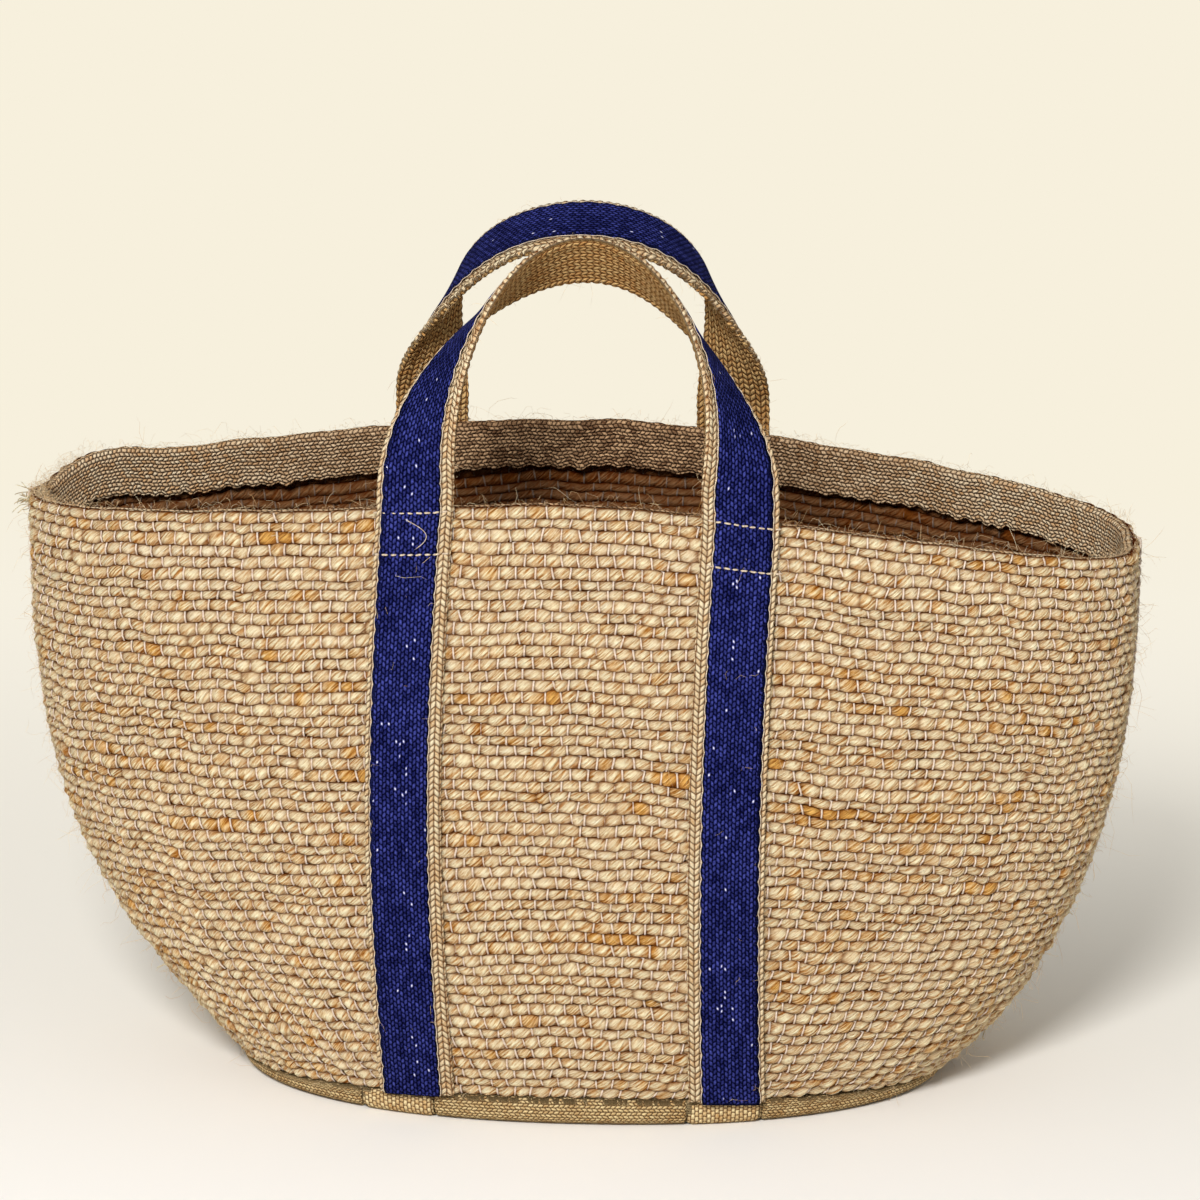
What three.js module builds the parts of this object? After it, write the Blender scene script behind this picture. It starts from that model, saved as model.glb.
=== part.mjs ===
// A hand-woven jute shopping basket with two webbing handles.
//
// The wall is two thick panels of jute yarn that meet at a side seam at each end, wide at the mouth and
// drawn in to an oval base. A fine jute tape faces the mouth, the base is a shallow sewn tray, and two
// webbing slings run under it. On each long side two lengths of natural webbing with a narrower blue
// stripe on top are sewn to the panel, and go on above the mouth as one loop, the handle.
//
// Millimetres, +Z up. The origin is on the floor under the middle of the mouth. +X runs along the
// mouth, -Y is the front. Every sheet is a solid between two surfaces that follow the same wall.
import * as THREE from "three";
import { mergeVertices } from "three/addons/utils/BufferGeometryUtils.js";

// Mouth of the basket, measured on the outside of the wall. Its ends hang lower than its middle.
const mouthHalfLength = 291;
const mouthHalfDepth = 93;
const rimHeightMiddle = 332;
const rimHeightLeft = 313;
const rimHeightRight = 294;
const rimSagPower = 1.4;
const mouthRoundness = { left: 2.35, right: 3.05 };

// Base of the basket: an oval that lies a little to the right of the middle of the mouth
const baseHalfLength = 190;
const baseHalfDepth = 107;
const baseShift = 6;
const baseRoundness = 2.2;
const seamHeightMiddle = 16.5;
const seamHeightEnds = 7;

// Shape of the wall between base and mouth: how full each end stands, and how much the sides belly
const endFullness = { left: 3.3, right: 2.7 };
const endKnee = { left: 1.12, right: 0.82 };
const bellyDepth = 8;

// Thicknesses of the cloths, and the gap that touching cloths keep
const wallThickness = 6;
const facingThickness = 2.5;
const trayThickness = 3;
const slingThickness = 2.5;
const webbingThickness = 3;
const stripeThickness = 1.5;
const clothGap = 0.3;

// Facing tape of the mouth, and the rounding of the base tray's edge
const facingHeight = 25;
const trayEdgeRounding = 5;

// Webbing of the handles and slings
const webbingWidth = 39;
const stripeWidth = 30;

// Where the four sewn straps run: their middle at the mouth and at the base, and how far they bow
const strapRuns = {
  front_left: { side: -1, atMouth: -79, atBase: -80, bow: -6 },
  front_right: { side: -1, atMouth: 86, atBase: 81, bow: -3 },
  rear_left: { side: 1, atMouth: -87, atBase: -82, bow: -2 },
  rear_right: { side: 1, atMouth: 76, atBase: 78, bow: 2 },
};
const slingMiddles = { left: -92, right: 80 };

// Shape of the handle loops: rise and inward lean of the middle of the webbing, how far its top lies to
// the right of its feet, how far the legs are drawn in, how round its shoulders are (1 is an ellipse,
// less is fuller) and the tilt of its face on top. Then, for the left leg and the right one: how soon
// the face turns on the way up, and how far it turns past square at the shoulder.
const handleShapes = {
  front: { side: -1, rise: 118, lean: 49, apexShift: 2, drawIn: 5, shoulder: 1, tiltDegrees: 46 },
  rear: { side: 1, rise: 117, lean: 47, apexShift: 5, drawIn: -12, shoulder: 0.95, tiltDegrees: 24 },
};
const handleTwists = {
  front: { left: { sooner: 2.3, pastSquareDegrees: 0 }, right: { sooner: 3.6, pastSquareDegrees: 5 } },
  rear: { left: { sooner: 3.8, pastSquareDegrees: 10 }, right: { sooner: 3.4, pastSquareDegrees: 5 } },
};
const flatFootShare = 0.06;
const tiltOnset = 2.5;

// The most that a handle swings inwards from where it stands: the sewn strap's top is cut back for it
const inwardSwingDegrees = 14;
const hingeClearance = 0.6;

// How finely the sheets are faceted. Rows crowd towards the base, where the wall curves most.
const wallColumns = 32;
const wallRows = 14;
const rowCrowding = 1.5;
const trayRings = 4;
const loopSteps = 36;
const slopeShare = 1e-3;
const weldDistance = 1e-3;

const colours = {
  jute: { color: 0xc9a566, roughness: 0.95, metalness: 0 },
  tape: { color: 0x9d8360, roughness: 0.95, metalness: 0 },
  webbing: { color: 0xb89d72, roughness: 0.95, metalness: 0 },
  blue: { color: 0x1d2a6b, roughness: 0.9, metalness: 0 },
};

const { lerp, clamp, degToRad } = THREE.MathUtils;
const smooth = (value) => THREE.MathUtils.smoothstep(value, 0, 1);
const above = (height) => new THREE.Vector3(0, 0, height);

// The wall

// How far the wall reaches left and right of the origin at a share t of its height.
function wallReach(t) {
  const reach = (end, baseReach) =>
    lerp(baseReach, mouthHalfLength, (1 - (1 - t) ** endFullness[end]) ** endKnee[end]);
  return {
    left: reach("left", baseHalfLength - baseShift),
    right: reach("right", baseHalfLength + baseShift),
  };
}

function rimHeight(u) {
  const sag = rimHeightMiddle - (u < 0 ? rimHeightLeft : rimHeightRight);
  return rimHeightMiddle - sag * Math.abs(u) ** rimSagPower;
}

const seamHeight = (u) => lerp(seamHeightMiddle, seamHeightEnds, u ** 2);

// A point on the outside of the wall. The angle runs from 0 at the left side seam to PI at the right one,
// t from 0 at the base seam to 1 at the rim, and side is -1 for the front and 1 for the rear.
function wallPoint(side, angle, t) {
  const { left, right } = wallReach(t);
  const u = -Math.cos(angle);
  const roundnessAtMouth = lerp(mouthRoundness.left, mouthRoundness.right, smooth((u + 1) / 2));
  const roundness = lerp(baseRoundness, roundnessAtMouth, t);
  const depth = lerp(baseHalfDepth, mouthHalfDepth, t) + bellyDepth * Math.sin(Math.PI * t);
  const depthShare = Math.max(0, 1 - Math.abs(u) ** roundness) ** (1 / roundness);
  return new THREE.Vector3(
    (right - left) / 2 + ((right + left) / 2) * u,
    side * depth * depthShare,
    lerp(seamHeight(u), rimHeight(u), t),
  );
}

// The outward direction of the wall there. Level leaves its rise out, as the tapes at the rim need.
function wallNormal(side, angle, t, level = false) {
  const [angleBelow, angleAbove] = [Math.max(angle - slopeShare, 0), Math.min(angle + slopeShare, Math.PI)];
  const [shareBelow, shareAbove] = [Math.max(t - slopeShare, 0), Math.min(t + slopeShare, 1)];
  const along = wallPoint(side, angleAbove, t).sub(wallPoint(side, angleBelow, t));
  const up = wallPoint(side, angle, shareAbove).sub(wallPoint(side, angle, shareBelow));
  if (level) {
    along.z = 0;
    up.set(0, 0, 1);
  }
  return along.cross(up).multiplyScalar(-side).normalize();
}

const onWall = (side, angle, t, outward, level) =>
  wallPoint(side, angle, t).addScaledVector(wallNormal(side, angle, t, level), outward);

// The wall's angle at a place x along the basket.
function angleAt(x, t) {
  const { left, right } = wallReach(t);
  return Math.acos(-clamp((2 * x - (right - left)) / (right + left), -1, 1));
}

// The height share of a row, and the share at a drop below the rim.
const rowShare = (row) => (row / wallRows) ** rowCrowding;

function shareBelowRim(angle, drop) {
  const u = -Math.cos(angle);
  return 1 - drop / (rimHeight(u) - seamHeight(u));
}

// Solids

// A closed solid between two surfaces, face(row, column) and back(row, column). Every surface is sampled
// from row 0 to rows and column 0 to columns. A ring is joined from its last row to its first.
function sheetSolid(rows, columns, face, back, ring = false) {
  const points = [];
  const sample = (surface) => {
    const first = points.length;
    for (let row = 0; row <= rows; row++) {
      for (let column = 0; column <= columns; column++) points.push(surface(ring ? row % rows : row, column));
    }
    return (row, column) => first + row * (columns + 1) + column;
  };
  const faceAt = sample(face);
  const backAt = sample(back);
  const corners = [];
  const quad = (a, b, c, d) => corners.push(a, b, c, a, c, d);
  for (let row = 0; row < rows; row++) {
    for (let column = 0; column < columns; column++) {
      quad(faceAt(row, column), faceAt(row + 1, column), faceAt(row + 1, column + 1), faceAt(row, column + 1));
      quad(backAt(row, column), backAt(row, column + 1), backAt(row + 1, column + 1), backAt(row + 1, column));
    }
    quad(faceAt(row, 0), backAt(row, 0), backAt(row + 1, 0), faceAt(row + 1, 0));
    quad(faceAt(row, columns), faceAt(row + 1, columns), backAt(row + 1, columns), backAt(row, columns));
  }
  for (let column = 0; column < columns && !ring; column++) {
    quad(faceAt(0, column), faceAt(0, column + 1), backAt(0, column + 1), backAt(0, column));
    quad(faceAt(rows, column), backAt(rows, column), backAt(rows, column + 1), faceAt(rows, column + 1));
  }
  return closedGeometry(points, corners);
}

// A geometry of triangles that face outwards, without those that have no area, as at a pole.
function closedGeometry(points, corners) {
  const triangles = [];
  let volume = 0;
  for (let k = 0; k < corners.length; k += 3) {
    const [a, b, c] = [points[corners[k]], points[corners[k + 1]], points[corners[k + 2]]];
    if (Math.min(a.distanceTo(b), b.distanceTo(c), c.distanceTo(a)) < weldDistance) continue;
    volume += a.dot(b.clone().cross(c));
    triangles.push([a, b, c]);
  }
  const facingOut = volume > 0 ? triangles : triangles.map(([a, b, c]) => [a, c, b]);
  const loose = new THREE.BufferGeometry().setFromPoints(facingOut.flat());
  const geometry = mergeVertices(loose, weldDistance);
  geometry.computeVertexNormals();
  return geometry;
}

const basket = new THREE.Group();

function addPiece(name, geometry, look, parent = basket) {
  const mesh = new THREE.Mesh(geometry, new THREE.MeshStandardMaterial(colours[look]));
  mesh.name = name;
  parent.add(mesh);
}

// Woven panels

const angleOfColumn = (column) => (Math.PI * column) / wallColumns;
const panelTopDrop = facingThickness + clothGap;

// One long side of the wall, from side seam to side seam. Its top edge is level under the facing.
function wovenPanel(side) {
  const surface = (outward) => (row, column) => {
    const angle = angleOfColumn(column);
    const atTop = row === wallRows;
    const t = atTop ? shareBelowRim(angle, panelTopDrop) : rowShare(row);
    const point = onWall(side, angle, t, outward);
    if (atTop) point.z = rimHeight(-Math.cos(angle)) - panelTopDrop;
    if (column === 0 || column === wallColumns) point.y = 0;
    point.y += (side * clothGap) / 2;
    return point;
  };
  return sheetSolid(wallRows, wallColumns, surface(0), surface(-wallThickness));
}

addPiece("front_panel", wovenPanel(-1), "jute");
addPiece("rear_panel", wovenPanel(1), "jute");

// Facing tape of the mouth

// Once round the mouth or the base: the front from left to right, then the rear back again.
const ringSteps = 2 * wallColumns;

function ringPlace(step) {
  const front = step < wallColumns;
  return { side: front ? -1 : 1, angle: angleOfColumn(front ? step : ringSteps - step) };
}

// The tape hangs inside the wall and its fold covers the panels' top edge: an L in section, lofted round.
function facingTape() {
  const legOutside = -(wallThickness + clothGap);
  const legInside = legOutside - facingThickness;
  const section = [
    [legOutside, facingHeight],
    [legOutside, facingThickness],
    [0, facingThickness],
    [0, 0],
    [legInside, 0],
    [legInside, facingHeight],
  ];
  const place = (step, corner) => {
    const { side, angle } = ringPlace(step);
    const [outward, drop] = section[corner];
    return onWall(side, angle, 1, outward, true).sub(above(drop));
  };
  const outside = (step, column) => place(step, column);
  const inside = (step, column) => place(step, section.length - 1 - column);
  return sheetSolid(ringSteps, section.length / 2 - 1, outside, inside, true);
}

addPiece("rim_facing", facingTape(), "tape");

// Base tray and slings

const trayBottom = slingThickness + clothGap;
const trayInset = slingThickness + clothGap;
const trayFloor = trayBottom + trayThickness;

const insideBaseSeam = (side, angle, depthIn, height) => {
  const point = onWall(side, angle, 0, -depthIn, true);
  point.z = height;
  return point;
};

// The tray's outside at a place round it, from the top of its edge down, round and under to its middle.
// Outward lifts it off the tray, as a sling needs.
function traySection(side, angle, outward) {
  const edgeTop = seamHeight(-Math.cos(angle)) - clothGap;
  const edgeFoot = Math.min(trayBottom + trayEdgeRounding, edgeTop - clothGap);
  const inset = trayInset - outward;
  const under = trayBottom - outward;
  const cornerShare = 1 - Math.SQRT1_2;
  return [
    insideBaseSeam(side, angle, inset, edgeTop),
    insideBaseSeam(side, angle, inset, edgeFoot),
    insideBaseSeam(side, angle, inset + trayEdgeRounding * cornerShare, lerp(under, edgeFoot, cornerShare)),
    insideBaseSeam(side, angle, trayInset + trayEdgeRounding, under),
    new THREE.Vector3(baseShift, 0, under),
  ];
}

// The oval base: a floor of fine jute with its edge turned up to the base seam.
function baseTray() {
  const middle = new THREE.Vector3(baseShift, 0, trayFloor);
  const outside = (step, ring) => {
    const { side, angle } = ringPlace(step);
    return traySection(side, angle, 0)[ring];
  };
  const inside = (step, ring) => {
    const { side, angle } = ringPlace(step);
    const height = ring === 0 ? outside(step, ring).z : trayFloor;
    const edge = insideBaseSeam(side, angle, trayInset + trayThickness, height);
    return edge.lerp(middle, Math.max(0, ring - 1) / (trayRings - 1));
  };
  return sheetSolid(ringSteps, trayRings, outside, inside, true);
}

addPiece("base_tray", baseTray(), "tape");

// Straps and slings: across, the webbing is faceted where the stripe is, and once more at each edge

const stripeColumns = [-stripeWidth / 2, -stripeWidth / 6, stripeWidth / 6, stripeWidth / 2];
const webbingColumns = [-webbingWidth / 2, ...stripeColumns, webbingWidth / 2];

const layers = {
  webbing: { inner: clothGap, thickness: webbingThickness, columns: webbingColumns, look: "webbing" },
  stripe: { inner: 2 * clothGap + webbingThickness, thickness: stripeThickness, columns: stripeColumns, look: "blue" },
};
const strapOutside = layers.stripe.inner + layers.stripe.thickness;

// A layer of a strap, as a sheet from its inner to its outer side.
const strapSolid = (rows, layer, surface) =>
  sheetSolid(rows, layer.columns.length - 1, surface(layer.inner), surface(layer.inner + layer.thickness));

// A sling: webbing from the front seam down the tray, under the base and up to the rear seam.
function sling(middle) {
  const levels = trayRings - 1;
  const underSteps = trayRings - 1;
  const rows = 2 * levels + underSteps;
  const surface = (outward) => (row, column) => {
    const angle = angleAt(middle + webbingColumns[column], 0);
    const front = traySection(-1, angle, outward);
    const rear = traySection(1, angle, outward);
    if (row <= levels) return front[row];
    if (row >= levels + underSteps) return rear[rows - row];
    return front[levels].lerp(rear[levels], (row - levels) / underSteps);
  };
  const columns = webbingColumns.length - 1;
  return sheetSolid(rows, columns, surface(clothGap), surface(clothGap + slingThickness));
}

for (const [name, middle] of Object.entries(slingMiddles)) addPiece(`base_sling_${name}`, sling(middle), "webbing");

// The middle of a sewn strap at a share t of the wall's height.
const strapMiddle = ({ atMouth, atBase, bow }, t) => lerp(atBase, atMouth, t) + bow * Math.sin(Math.PI * t);

// The sewn length, from the base seam to just under the handle's foot, where its top is cut on a slope
// so that the foot can tip inwards over it.
function sewnStrap(run, layer) {
  const footAngle = angleAt(run.atMouth, 1);
  const surface = (outward) => (row, column) => {
    const slope = (strapOutside - outward) * Math.tan(degToRad(inwardSwingDegrees));
    const t = row === wallRows ? shareBelowRim(footAngle, hingeClearance + slope) : rowShare(row);
    const x = strapMiddle(run, t) + layer.columns[column];
    return onWall(run.side, angleAt(x, t), t, outward);
  };
  return strapSolid(wallRows, layer, surface);
}

for (const [name, run] of Object.entries(strapRuns)) {
  addPiece(`${name}_webbing`, sewnStrap(run, layers.webbing), layers.webbing.look);
  addPiece(`${name}_stripe`, sewnStrap(run, layers.stripe), layers.stripe.look);
}

// Handle loops

// The foot of a handle stands on its sewn strap, clear of the rim at its highest and outermost place.
function footPoint(run) {
  const edges = [-webbingWidth / 2, 0, webbingWidth / 2].map((offset) => {
    return wallPoint(run.side, angleAt(run.atMouth + offset, 1), 1);
  });
  const depth = Math.max(...edges.map((point) => Math.abs(point.y)));
  const height = Math.max(...edges.map((point) => point.z));
  return new THREE.Vector3(run.atMouth, run.side * (depth + strapOutside), height);
}

// The hinge line of a handle runs through its two feet, along their outer face.
function hingeLine(name) {
  const left = footPoint(strapRuns[`${name}_left`]);
  const right = footPoint(strapRuns[`${name}_right`]);
  return { left, right, along: right.clone().sub(left).normalize() };
}

// The middle of the webbing's inner face along the loop, with phi from 0 at the left foot to PI at the right.
function loopMiddle(name, phi) {
  const shape = handleShapes[name];
  const { left, right } = hingeLine(name);
  const climb = Math.sin(phi);
  const point = left.lerp(right, (1 - Math.cos(phi)) / 2);
  point.x += shape.apexShift * climb ** 2 + shape.drawIn * climb ** 2 * Math.cos(phi);
  point.y -= shape.side * (strapOutside + shape.lean * climb ** 2);
  point.z += clothGap + shape.rise * climb ** shape.shoulder;
  return point;
}

// Across and out of the loop: the webbing stands flat to the wall at its feet and turns its blue face up
// and inwards as it climbs, because a flat band can only arch over its face.
function loopFrame(name, phi) {
  const { side, tiltDegrees } = handleShapes[name];
  const { sooner, pastSquareDegrees } = handleTwists[name][phi < Math.PI / 2 ? "left" : "right"];
  const before = loopMiddle(name, Math.max(phi - slopeShare, 0));
  const after = loopMiddle(name, Math.min(phi + slopeShare, Math.PI));
  const tangent = after.sub(before).normalize();
  const footShare = Math.min(1, Math.abs(1 - (2 * phi) / Math.PI) / (1 - flatFootShare));
  const past = degToRad(pastSquareDegrees) * Math.sin(Math.PI * footShare) ** 2;
  const turn = (Math.PI / 2) * (1 - footShare ** sooner) + past;
  const tilt = degToRad(tiltDegrees) * (1 - footShare ** 2) ** tiltOnset;
  const towardsMiddle = phi < Math.PI / 2 ? 1 : -1;
  const onTop = new THREE.Vector3(0, side * Math.cos(tilt), Math.sin(tilt));
  const across = hingeLine(name).along.multiplyScalar(Math.cos(turn) * towardsMiddle);
  across.addScaledVector(onTop, Math.sin(turn));
  across.addScaledVector(tangent, -across.dot(tangent)).normalize();
  const outward = across.clone().cross(tangent).multiplyScalar(-side);
  return { across, outward };
}

function handleLoop(name, layer) {
  const surface = (outward) => (row, column) => {
    const phi = (Math.PI * row) / loopSteps;
    const frame = loopFrame(name, phi);
    return loopMiddle(name, phi)
      .addScaledVector(frame.across, layer.columns[column])
      .addScaledVector(frame.outward, outward);
  };
  return strapSolid(loopSteps, layer, surface);
}

for (const name of Object.keys(handleShapes)) {
  const handle = new THREE.Group();
  addPiece(`${name}_handle_webbing`, handleLoop(name, layers.webbing), layers.webbing.look, handle);
  addPiece(`${name}_handle_stripe`, handleLoop(name, layers.stripe), layers.stripe.look, handle);
  basket.add(handle);
}

export default basket;
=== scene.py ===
# %% [markdown]
# A jute shopping basket, dressed thread by thread.
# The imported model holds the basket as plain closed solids: two panels, a facing, a base, straps and two
# handles that fold. This lesson covers each of them with the cloth that it is really made of. Sizes are
# in millimetres, as on a maker's bench, and become metres in one place, where a mesh is laid.

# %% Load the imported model
import bmesh
import bpy
import numpy as np
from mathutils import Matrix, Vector


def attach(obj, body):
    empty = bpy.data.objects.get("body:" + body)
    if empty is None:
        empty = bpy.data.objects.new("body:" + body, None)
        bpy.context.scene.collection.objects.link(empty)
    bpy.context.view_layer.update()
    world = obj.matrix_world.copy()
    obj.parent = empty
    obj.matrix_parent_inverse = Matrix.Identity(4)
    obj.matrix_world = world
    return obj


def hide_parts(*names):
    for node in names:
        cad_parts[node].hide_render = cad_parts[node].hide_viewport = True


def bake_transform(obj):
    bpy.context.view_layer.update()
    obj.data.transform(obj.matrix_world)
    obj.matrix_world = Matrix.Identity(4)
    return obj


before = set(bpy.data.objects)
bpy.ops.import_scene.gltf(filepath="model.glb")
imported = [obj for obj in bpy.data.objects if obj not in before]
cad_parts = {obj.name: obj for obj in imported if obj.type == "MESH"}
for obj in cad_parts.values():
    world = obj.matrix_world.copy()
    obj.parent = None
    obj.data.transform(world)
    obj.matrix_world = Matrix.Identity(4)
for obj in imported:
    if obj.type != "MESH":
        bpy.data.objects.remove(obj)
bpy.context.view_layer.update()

# %% [markdown]
# The camera comes first, so that every piece can be judged from where the photograph was taken: about
# 18 degrees above the floor, well back, with a long lens that keeps the rims nearly parallel.

# %% Set the camera
eye = Vector((0.1587, -2.5947, 1.0097))
aim = Vector((0.0077, 0.0290, 0.2473))
camera = bpy.data.objects.new("camera", bpy.data.cameras.new("camera"))
camera.data.sensor_width = 36
camera.data.lens = 154.1
camera.location = eye
camera.rotation_euler = (aim - eye).to_track_quat("-Z", "Y").to_euler()
bpy.context.scene.collection.objects.link(camera)
bpy.context.scene.camera = camera
print("Camera distance in metres:", round((aim - eye).length, 3))

# %% [markdown]
# The wall is one smooth surface: a rounded oval at the base that grows into a long, squarer oval at the
# mouth, with ends that belly out and a rim that sags towards them. Every cloth here is laid on or beside
# it, so its formula comes before any mesh. The angle runs from 0 at the left side seam to pi at the
# right one, the share t from 0 at the base to 1 at the rim, and side is -1 in front and 1 behind.

# %% Describe the wall
mouth_half_length, mouth_half_depth = 291, 93
rim_height_middle, rim_height_left, rim_height_right, rim_sag_power = 332, 313, 294, 1.4
mouth_roundness_left, mouth_roundness_right, base_roundness = 2.35, 3.05, 2.2
base_half_length, base_half_depth, base_shift = 190, 107, 6
seam_height_middle, seam_height_ends = 16.5, 7
fullness_left, fullness_right, knee_left, knee_right, belly_depth = 3.3, 2.7, 1.12, 0.82, 8
wall_thickness = 6
# The crumple of the rear rim: height in mm, angle of its middle and its width as an angle
rim_hump, rim_dip = (6.5, 0.45, 0.17), (2.5, 0.12, 0.08)


def between(low, high, share):
    return low + (high - low) * share


def smooth(value):
    value = np.clip(value, 0, 1)
    return value * value * (3 - 2 * value)


def wall_reach(t):
    """How far the wall reaches to the left and to the right."""
    left_base, right_base = base_half_length - base_shift, base_half_length + base_shift
    left = between(left_base, mouth_half_length, (1 - (1 - t) ** fullness_left) ** knee_left)
    right = between(right_base, mouth_half_length, (1 - (1 - t) ** fullness_right) ** knee_right)
    return left, right


def rim_height(u):
    """Height of the rim, u being -1 at the left end and 1 at the right one."""
    end = np.where(u < 0, rim_height_left, rim_height_right)
    return rim_height_middle - (rim_height_middle - end) * np.abs(u) ** rim_sag_power


def seam_height(u):
    """Height at which the wall meets the base."""
    return between(seam_height_middle, seam_height_ends, u**2)


def bulge(angle, height, middle, width):
    """A smooth rise round one place."""
    return height * np.exp(-(((angle - middle) / width) ** 2))


def crumple(side, angle):
    """How far the soft rim stands up behind near its left end, and how it wavers elsewhere."""
    hump = bulge(angle, *rim_hump) - bulge(angle, *rim_dip)
    waver = (0.5 * np.sin(23 * angle + side) + 0.4 * np.sin(41 * angle - 2 * side)) * np.sin(angle)
    return np.where(side > 0, hump + waver, 0.6 * waver)


def wall_point(side, angle, t):
    """The point on the outside of the wall."""
    angle, t = np.broadcast_arrays(np.asarray(angle, float), np.asarray(t, float))
    left, right = wall_reach(t)
    u = -np.cos(angle)
    at_mouth = between(mouth_roundness_left, mouth_roundness_right, smooth((u + 1) / 2))
    roundness = between(base_roundness, at_mouth, t)
    depth = between(base_half_depth, mouth_half_depth, t) + belly_depth * np.sin(np.pi * t)
    share = np.maximum(0, 1 - np.abs(u) ** roundness) ** (1 / roundness)
    x = (right - left) / 2 + (right + left) / 2 * u
    height = between(seam_height(u), rim_height(u), t) + crumple(side, angle) * t**6
    return np.stack([x, side * depth * share, height], -1)


print("Mouth, mm:", 2 * mouth_half_length, "by", 2 * mouth_half_depth)

# %% [markdown]
# Yarn needs to know which way is outwards and which way is up along the cloth. Both come from tiny steps
# on the surface, the way one would tilt a ruler against the wall.

# %% Find the directions on the wall
slope = 1e-3
up = np.array([0, 0, 1.0])


def unit(vectors):
    """The same directions, all of length one."""
    return vectors / np.maximum(np.linalg.norm(vectors, axis=-1, keepdims=True), 1e-9)


def measure(path):
    """How far along the path each of its points lies."""
    return np.concatenate([[0], np.cumsum(np.linalg.norm(np.diff(path, axis=0), axis=1))])


def wall_frame(side, angle, t, level=False):
    """The point, the outward direction, and the climb: how far the wall goes up for a whole share.

    With level, the outward direction stays level, as if the wall stood upright there."""
    angle, t = np.broadcast_arrays(np.asarray(angle, float), np.asarray(t, float))
    angle_low, angle_high = np.maximum(angle - slope, 0), np.minimum(angle + slope, np.pi)
    low, high = np.maximum(t - slope, 0), np.minimum(t + slope, 1)
    along = wall_point(side, angle_high, t) - wall_point(side, angle_low, t)
    climb = (wall_point(side, angle, high) - wall_point(side, angle, low)) / (high - low)[..., None]
    upwards = climb
    if level:
        along = along * (1, 1, 0)
        upwards = np.broadcast_to(up, along.shape)
    normal = unit(np.cross(along, upwards) * -np.asarray(side)[..., None])
    return wall_point(side, angle, t), normal, climb


def on_wall(side, angle, t, outward, level=False):
    """A point beside the wall, that far outwards from it."""
    point, normal, _ = wall_frame(side, angle, t, level)
    return point + normal * np.asarray(outward, float)[..., None]


def angle_at(x, t):
    """The angle at which the wall passes that x."""
    left, right = wall_reach(t)
    return np.arccos(-np.clip((2 * x - (right - left)) / (right + left), -1, 1))


def share_below_rim(angle, drop):
    """The share of the wall's height that lies that many millimetres below the rim."""
    u = -np.cos(angle)
    return 1 - drop / (rim_height(u) - seam_height(u))


print("Outward in front:", wall_frame(-1, np.pi / 2, 0.5)[1].round(2))

# %% [markdown]
# Almost everything in a basket is a long strand or a band. A strand could be a curve with a bevel, but
# then its thickness could not swell between the ties. Here a flat bmesh grid is made for each strand,
# and its points are carried to their places; the long edges meet and are welded, which closes the tube.

# %% Make and lay grids
metres = 0.001
weld_distance, sliver_length = 2e-6, 1e-7


def stack(mesh, times):
    """Holds the same mesh many times, by doubling it."""
    shape = bmesh.new()
    if times > 1:
        half = stack(mesh, times // 2)
        doubled = bpy.data.meshes.new("doubled")
        half.to_mesh(doubled)
        half.free()
        shape.from_mesh(doubled)
        shape.from_mesh(doubled)
        bpy.data.meshes.remove(doubled)
    if times % 2:
        shape.from_mesh(mesh)
    return shape


def flat_grids(name, counts):
    """One mesh of flat grids, and for each point its grid, its column and its turn round the strand."""
    shape, mesh, start = bmesh.new(), bpy.data.meshes.new(name), 0
    while start < len(counts):
        end = start
        while end < len(counts) and counts[end] == counts[start]:
            end += 1
        one = bmesh.new()
        bmesh.ops.create_grid(one, x_segments=counts[start][0], y_segments=counts[start][1], size=0.5)
        one.to_mesh(mesh)
        one.free()
        several = stack(mesh, end - start)
        several.to_mesh(mesh)
        several.free()
        shape.from_mesh(mesh)
        start = end
    shape.to_mesh(mesh)
    shape.free()
    flat = np.empty(len(mesh.vertices) * 3)
    mesh.vertices.foreach_get("co", flat)
    flat = flat.reshape(-1, 3) + 0.5
    counts = np.array(counts)
    grid = np.repeat(np.arange(len(counts)), (counts[:, 0] + 1) * (counts[:, 1] + 1))
    column, turn = (np.rint(flat[:, axis] * counts[grid, axis]).astype(int) for axis in (0, 1))
    return mesh, grid, column, turn


def note(mesh, name, values):
    """Keeps a number or a vector for each point, which a material can read."""
    values = np.asarray(values, np.float32)
    kind, field = ("FLOAT_VECTOR", "vector") if values.ndim > 1 else ("FLOAT", "value")
    mesh.attributes.new(name, kind, "POINT").data.foreach_set(field, values.ravel())


def lay(mesh, points, outwards=False, **notes):
    """Carries the points to their places in millimetres, and welds what then meets."""
    mesh.vertices.foreach_set("co", (np.asarray(points) * metres).ravel())
    for name, values in notes.items():
        note(mesh, name, values)
    shape = bmesh.new()
    shape.from_mesh(mesh)
    bmesh.ops.remove_doubles(shape, verts=shape.verts, dist=weld_distance)
    bmesh.ops.dissolve_degenerate(shape, edges=shape.edges, dist=sliver_length)
    if outwards:
        bmesh.ops.recalc_face_normals(shape, faces=shape.faces)
    shape.to_mesh(mesh)
    shape.free()
    mesh.polygons.foreach_set("use_smooth", np.ones(len(mesh.polygons), bool))
    return mesh


def piece(mesh, material, body, slot, *replaced):
    """A finished piece of the basket, on its body, in place of the plain solids that it stands for."""
    made = bpy.data.objects.new(mesh.name, mesh)
    bpy.context.scene.collection.objects.link(made)
    made.data.materials.append(material)
    if body:
        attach(made, body)
    if replaced:
        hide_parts(*replaced)
    print(mesh.name, "has", sum(len(face.vertices) - 2 for face in mesh.polygons), "triangles")
    return made


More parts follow.
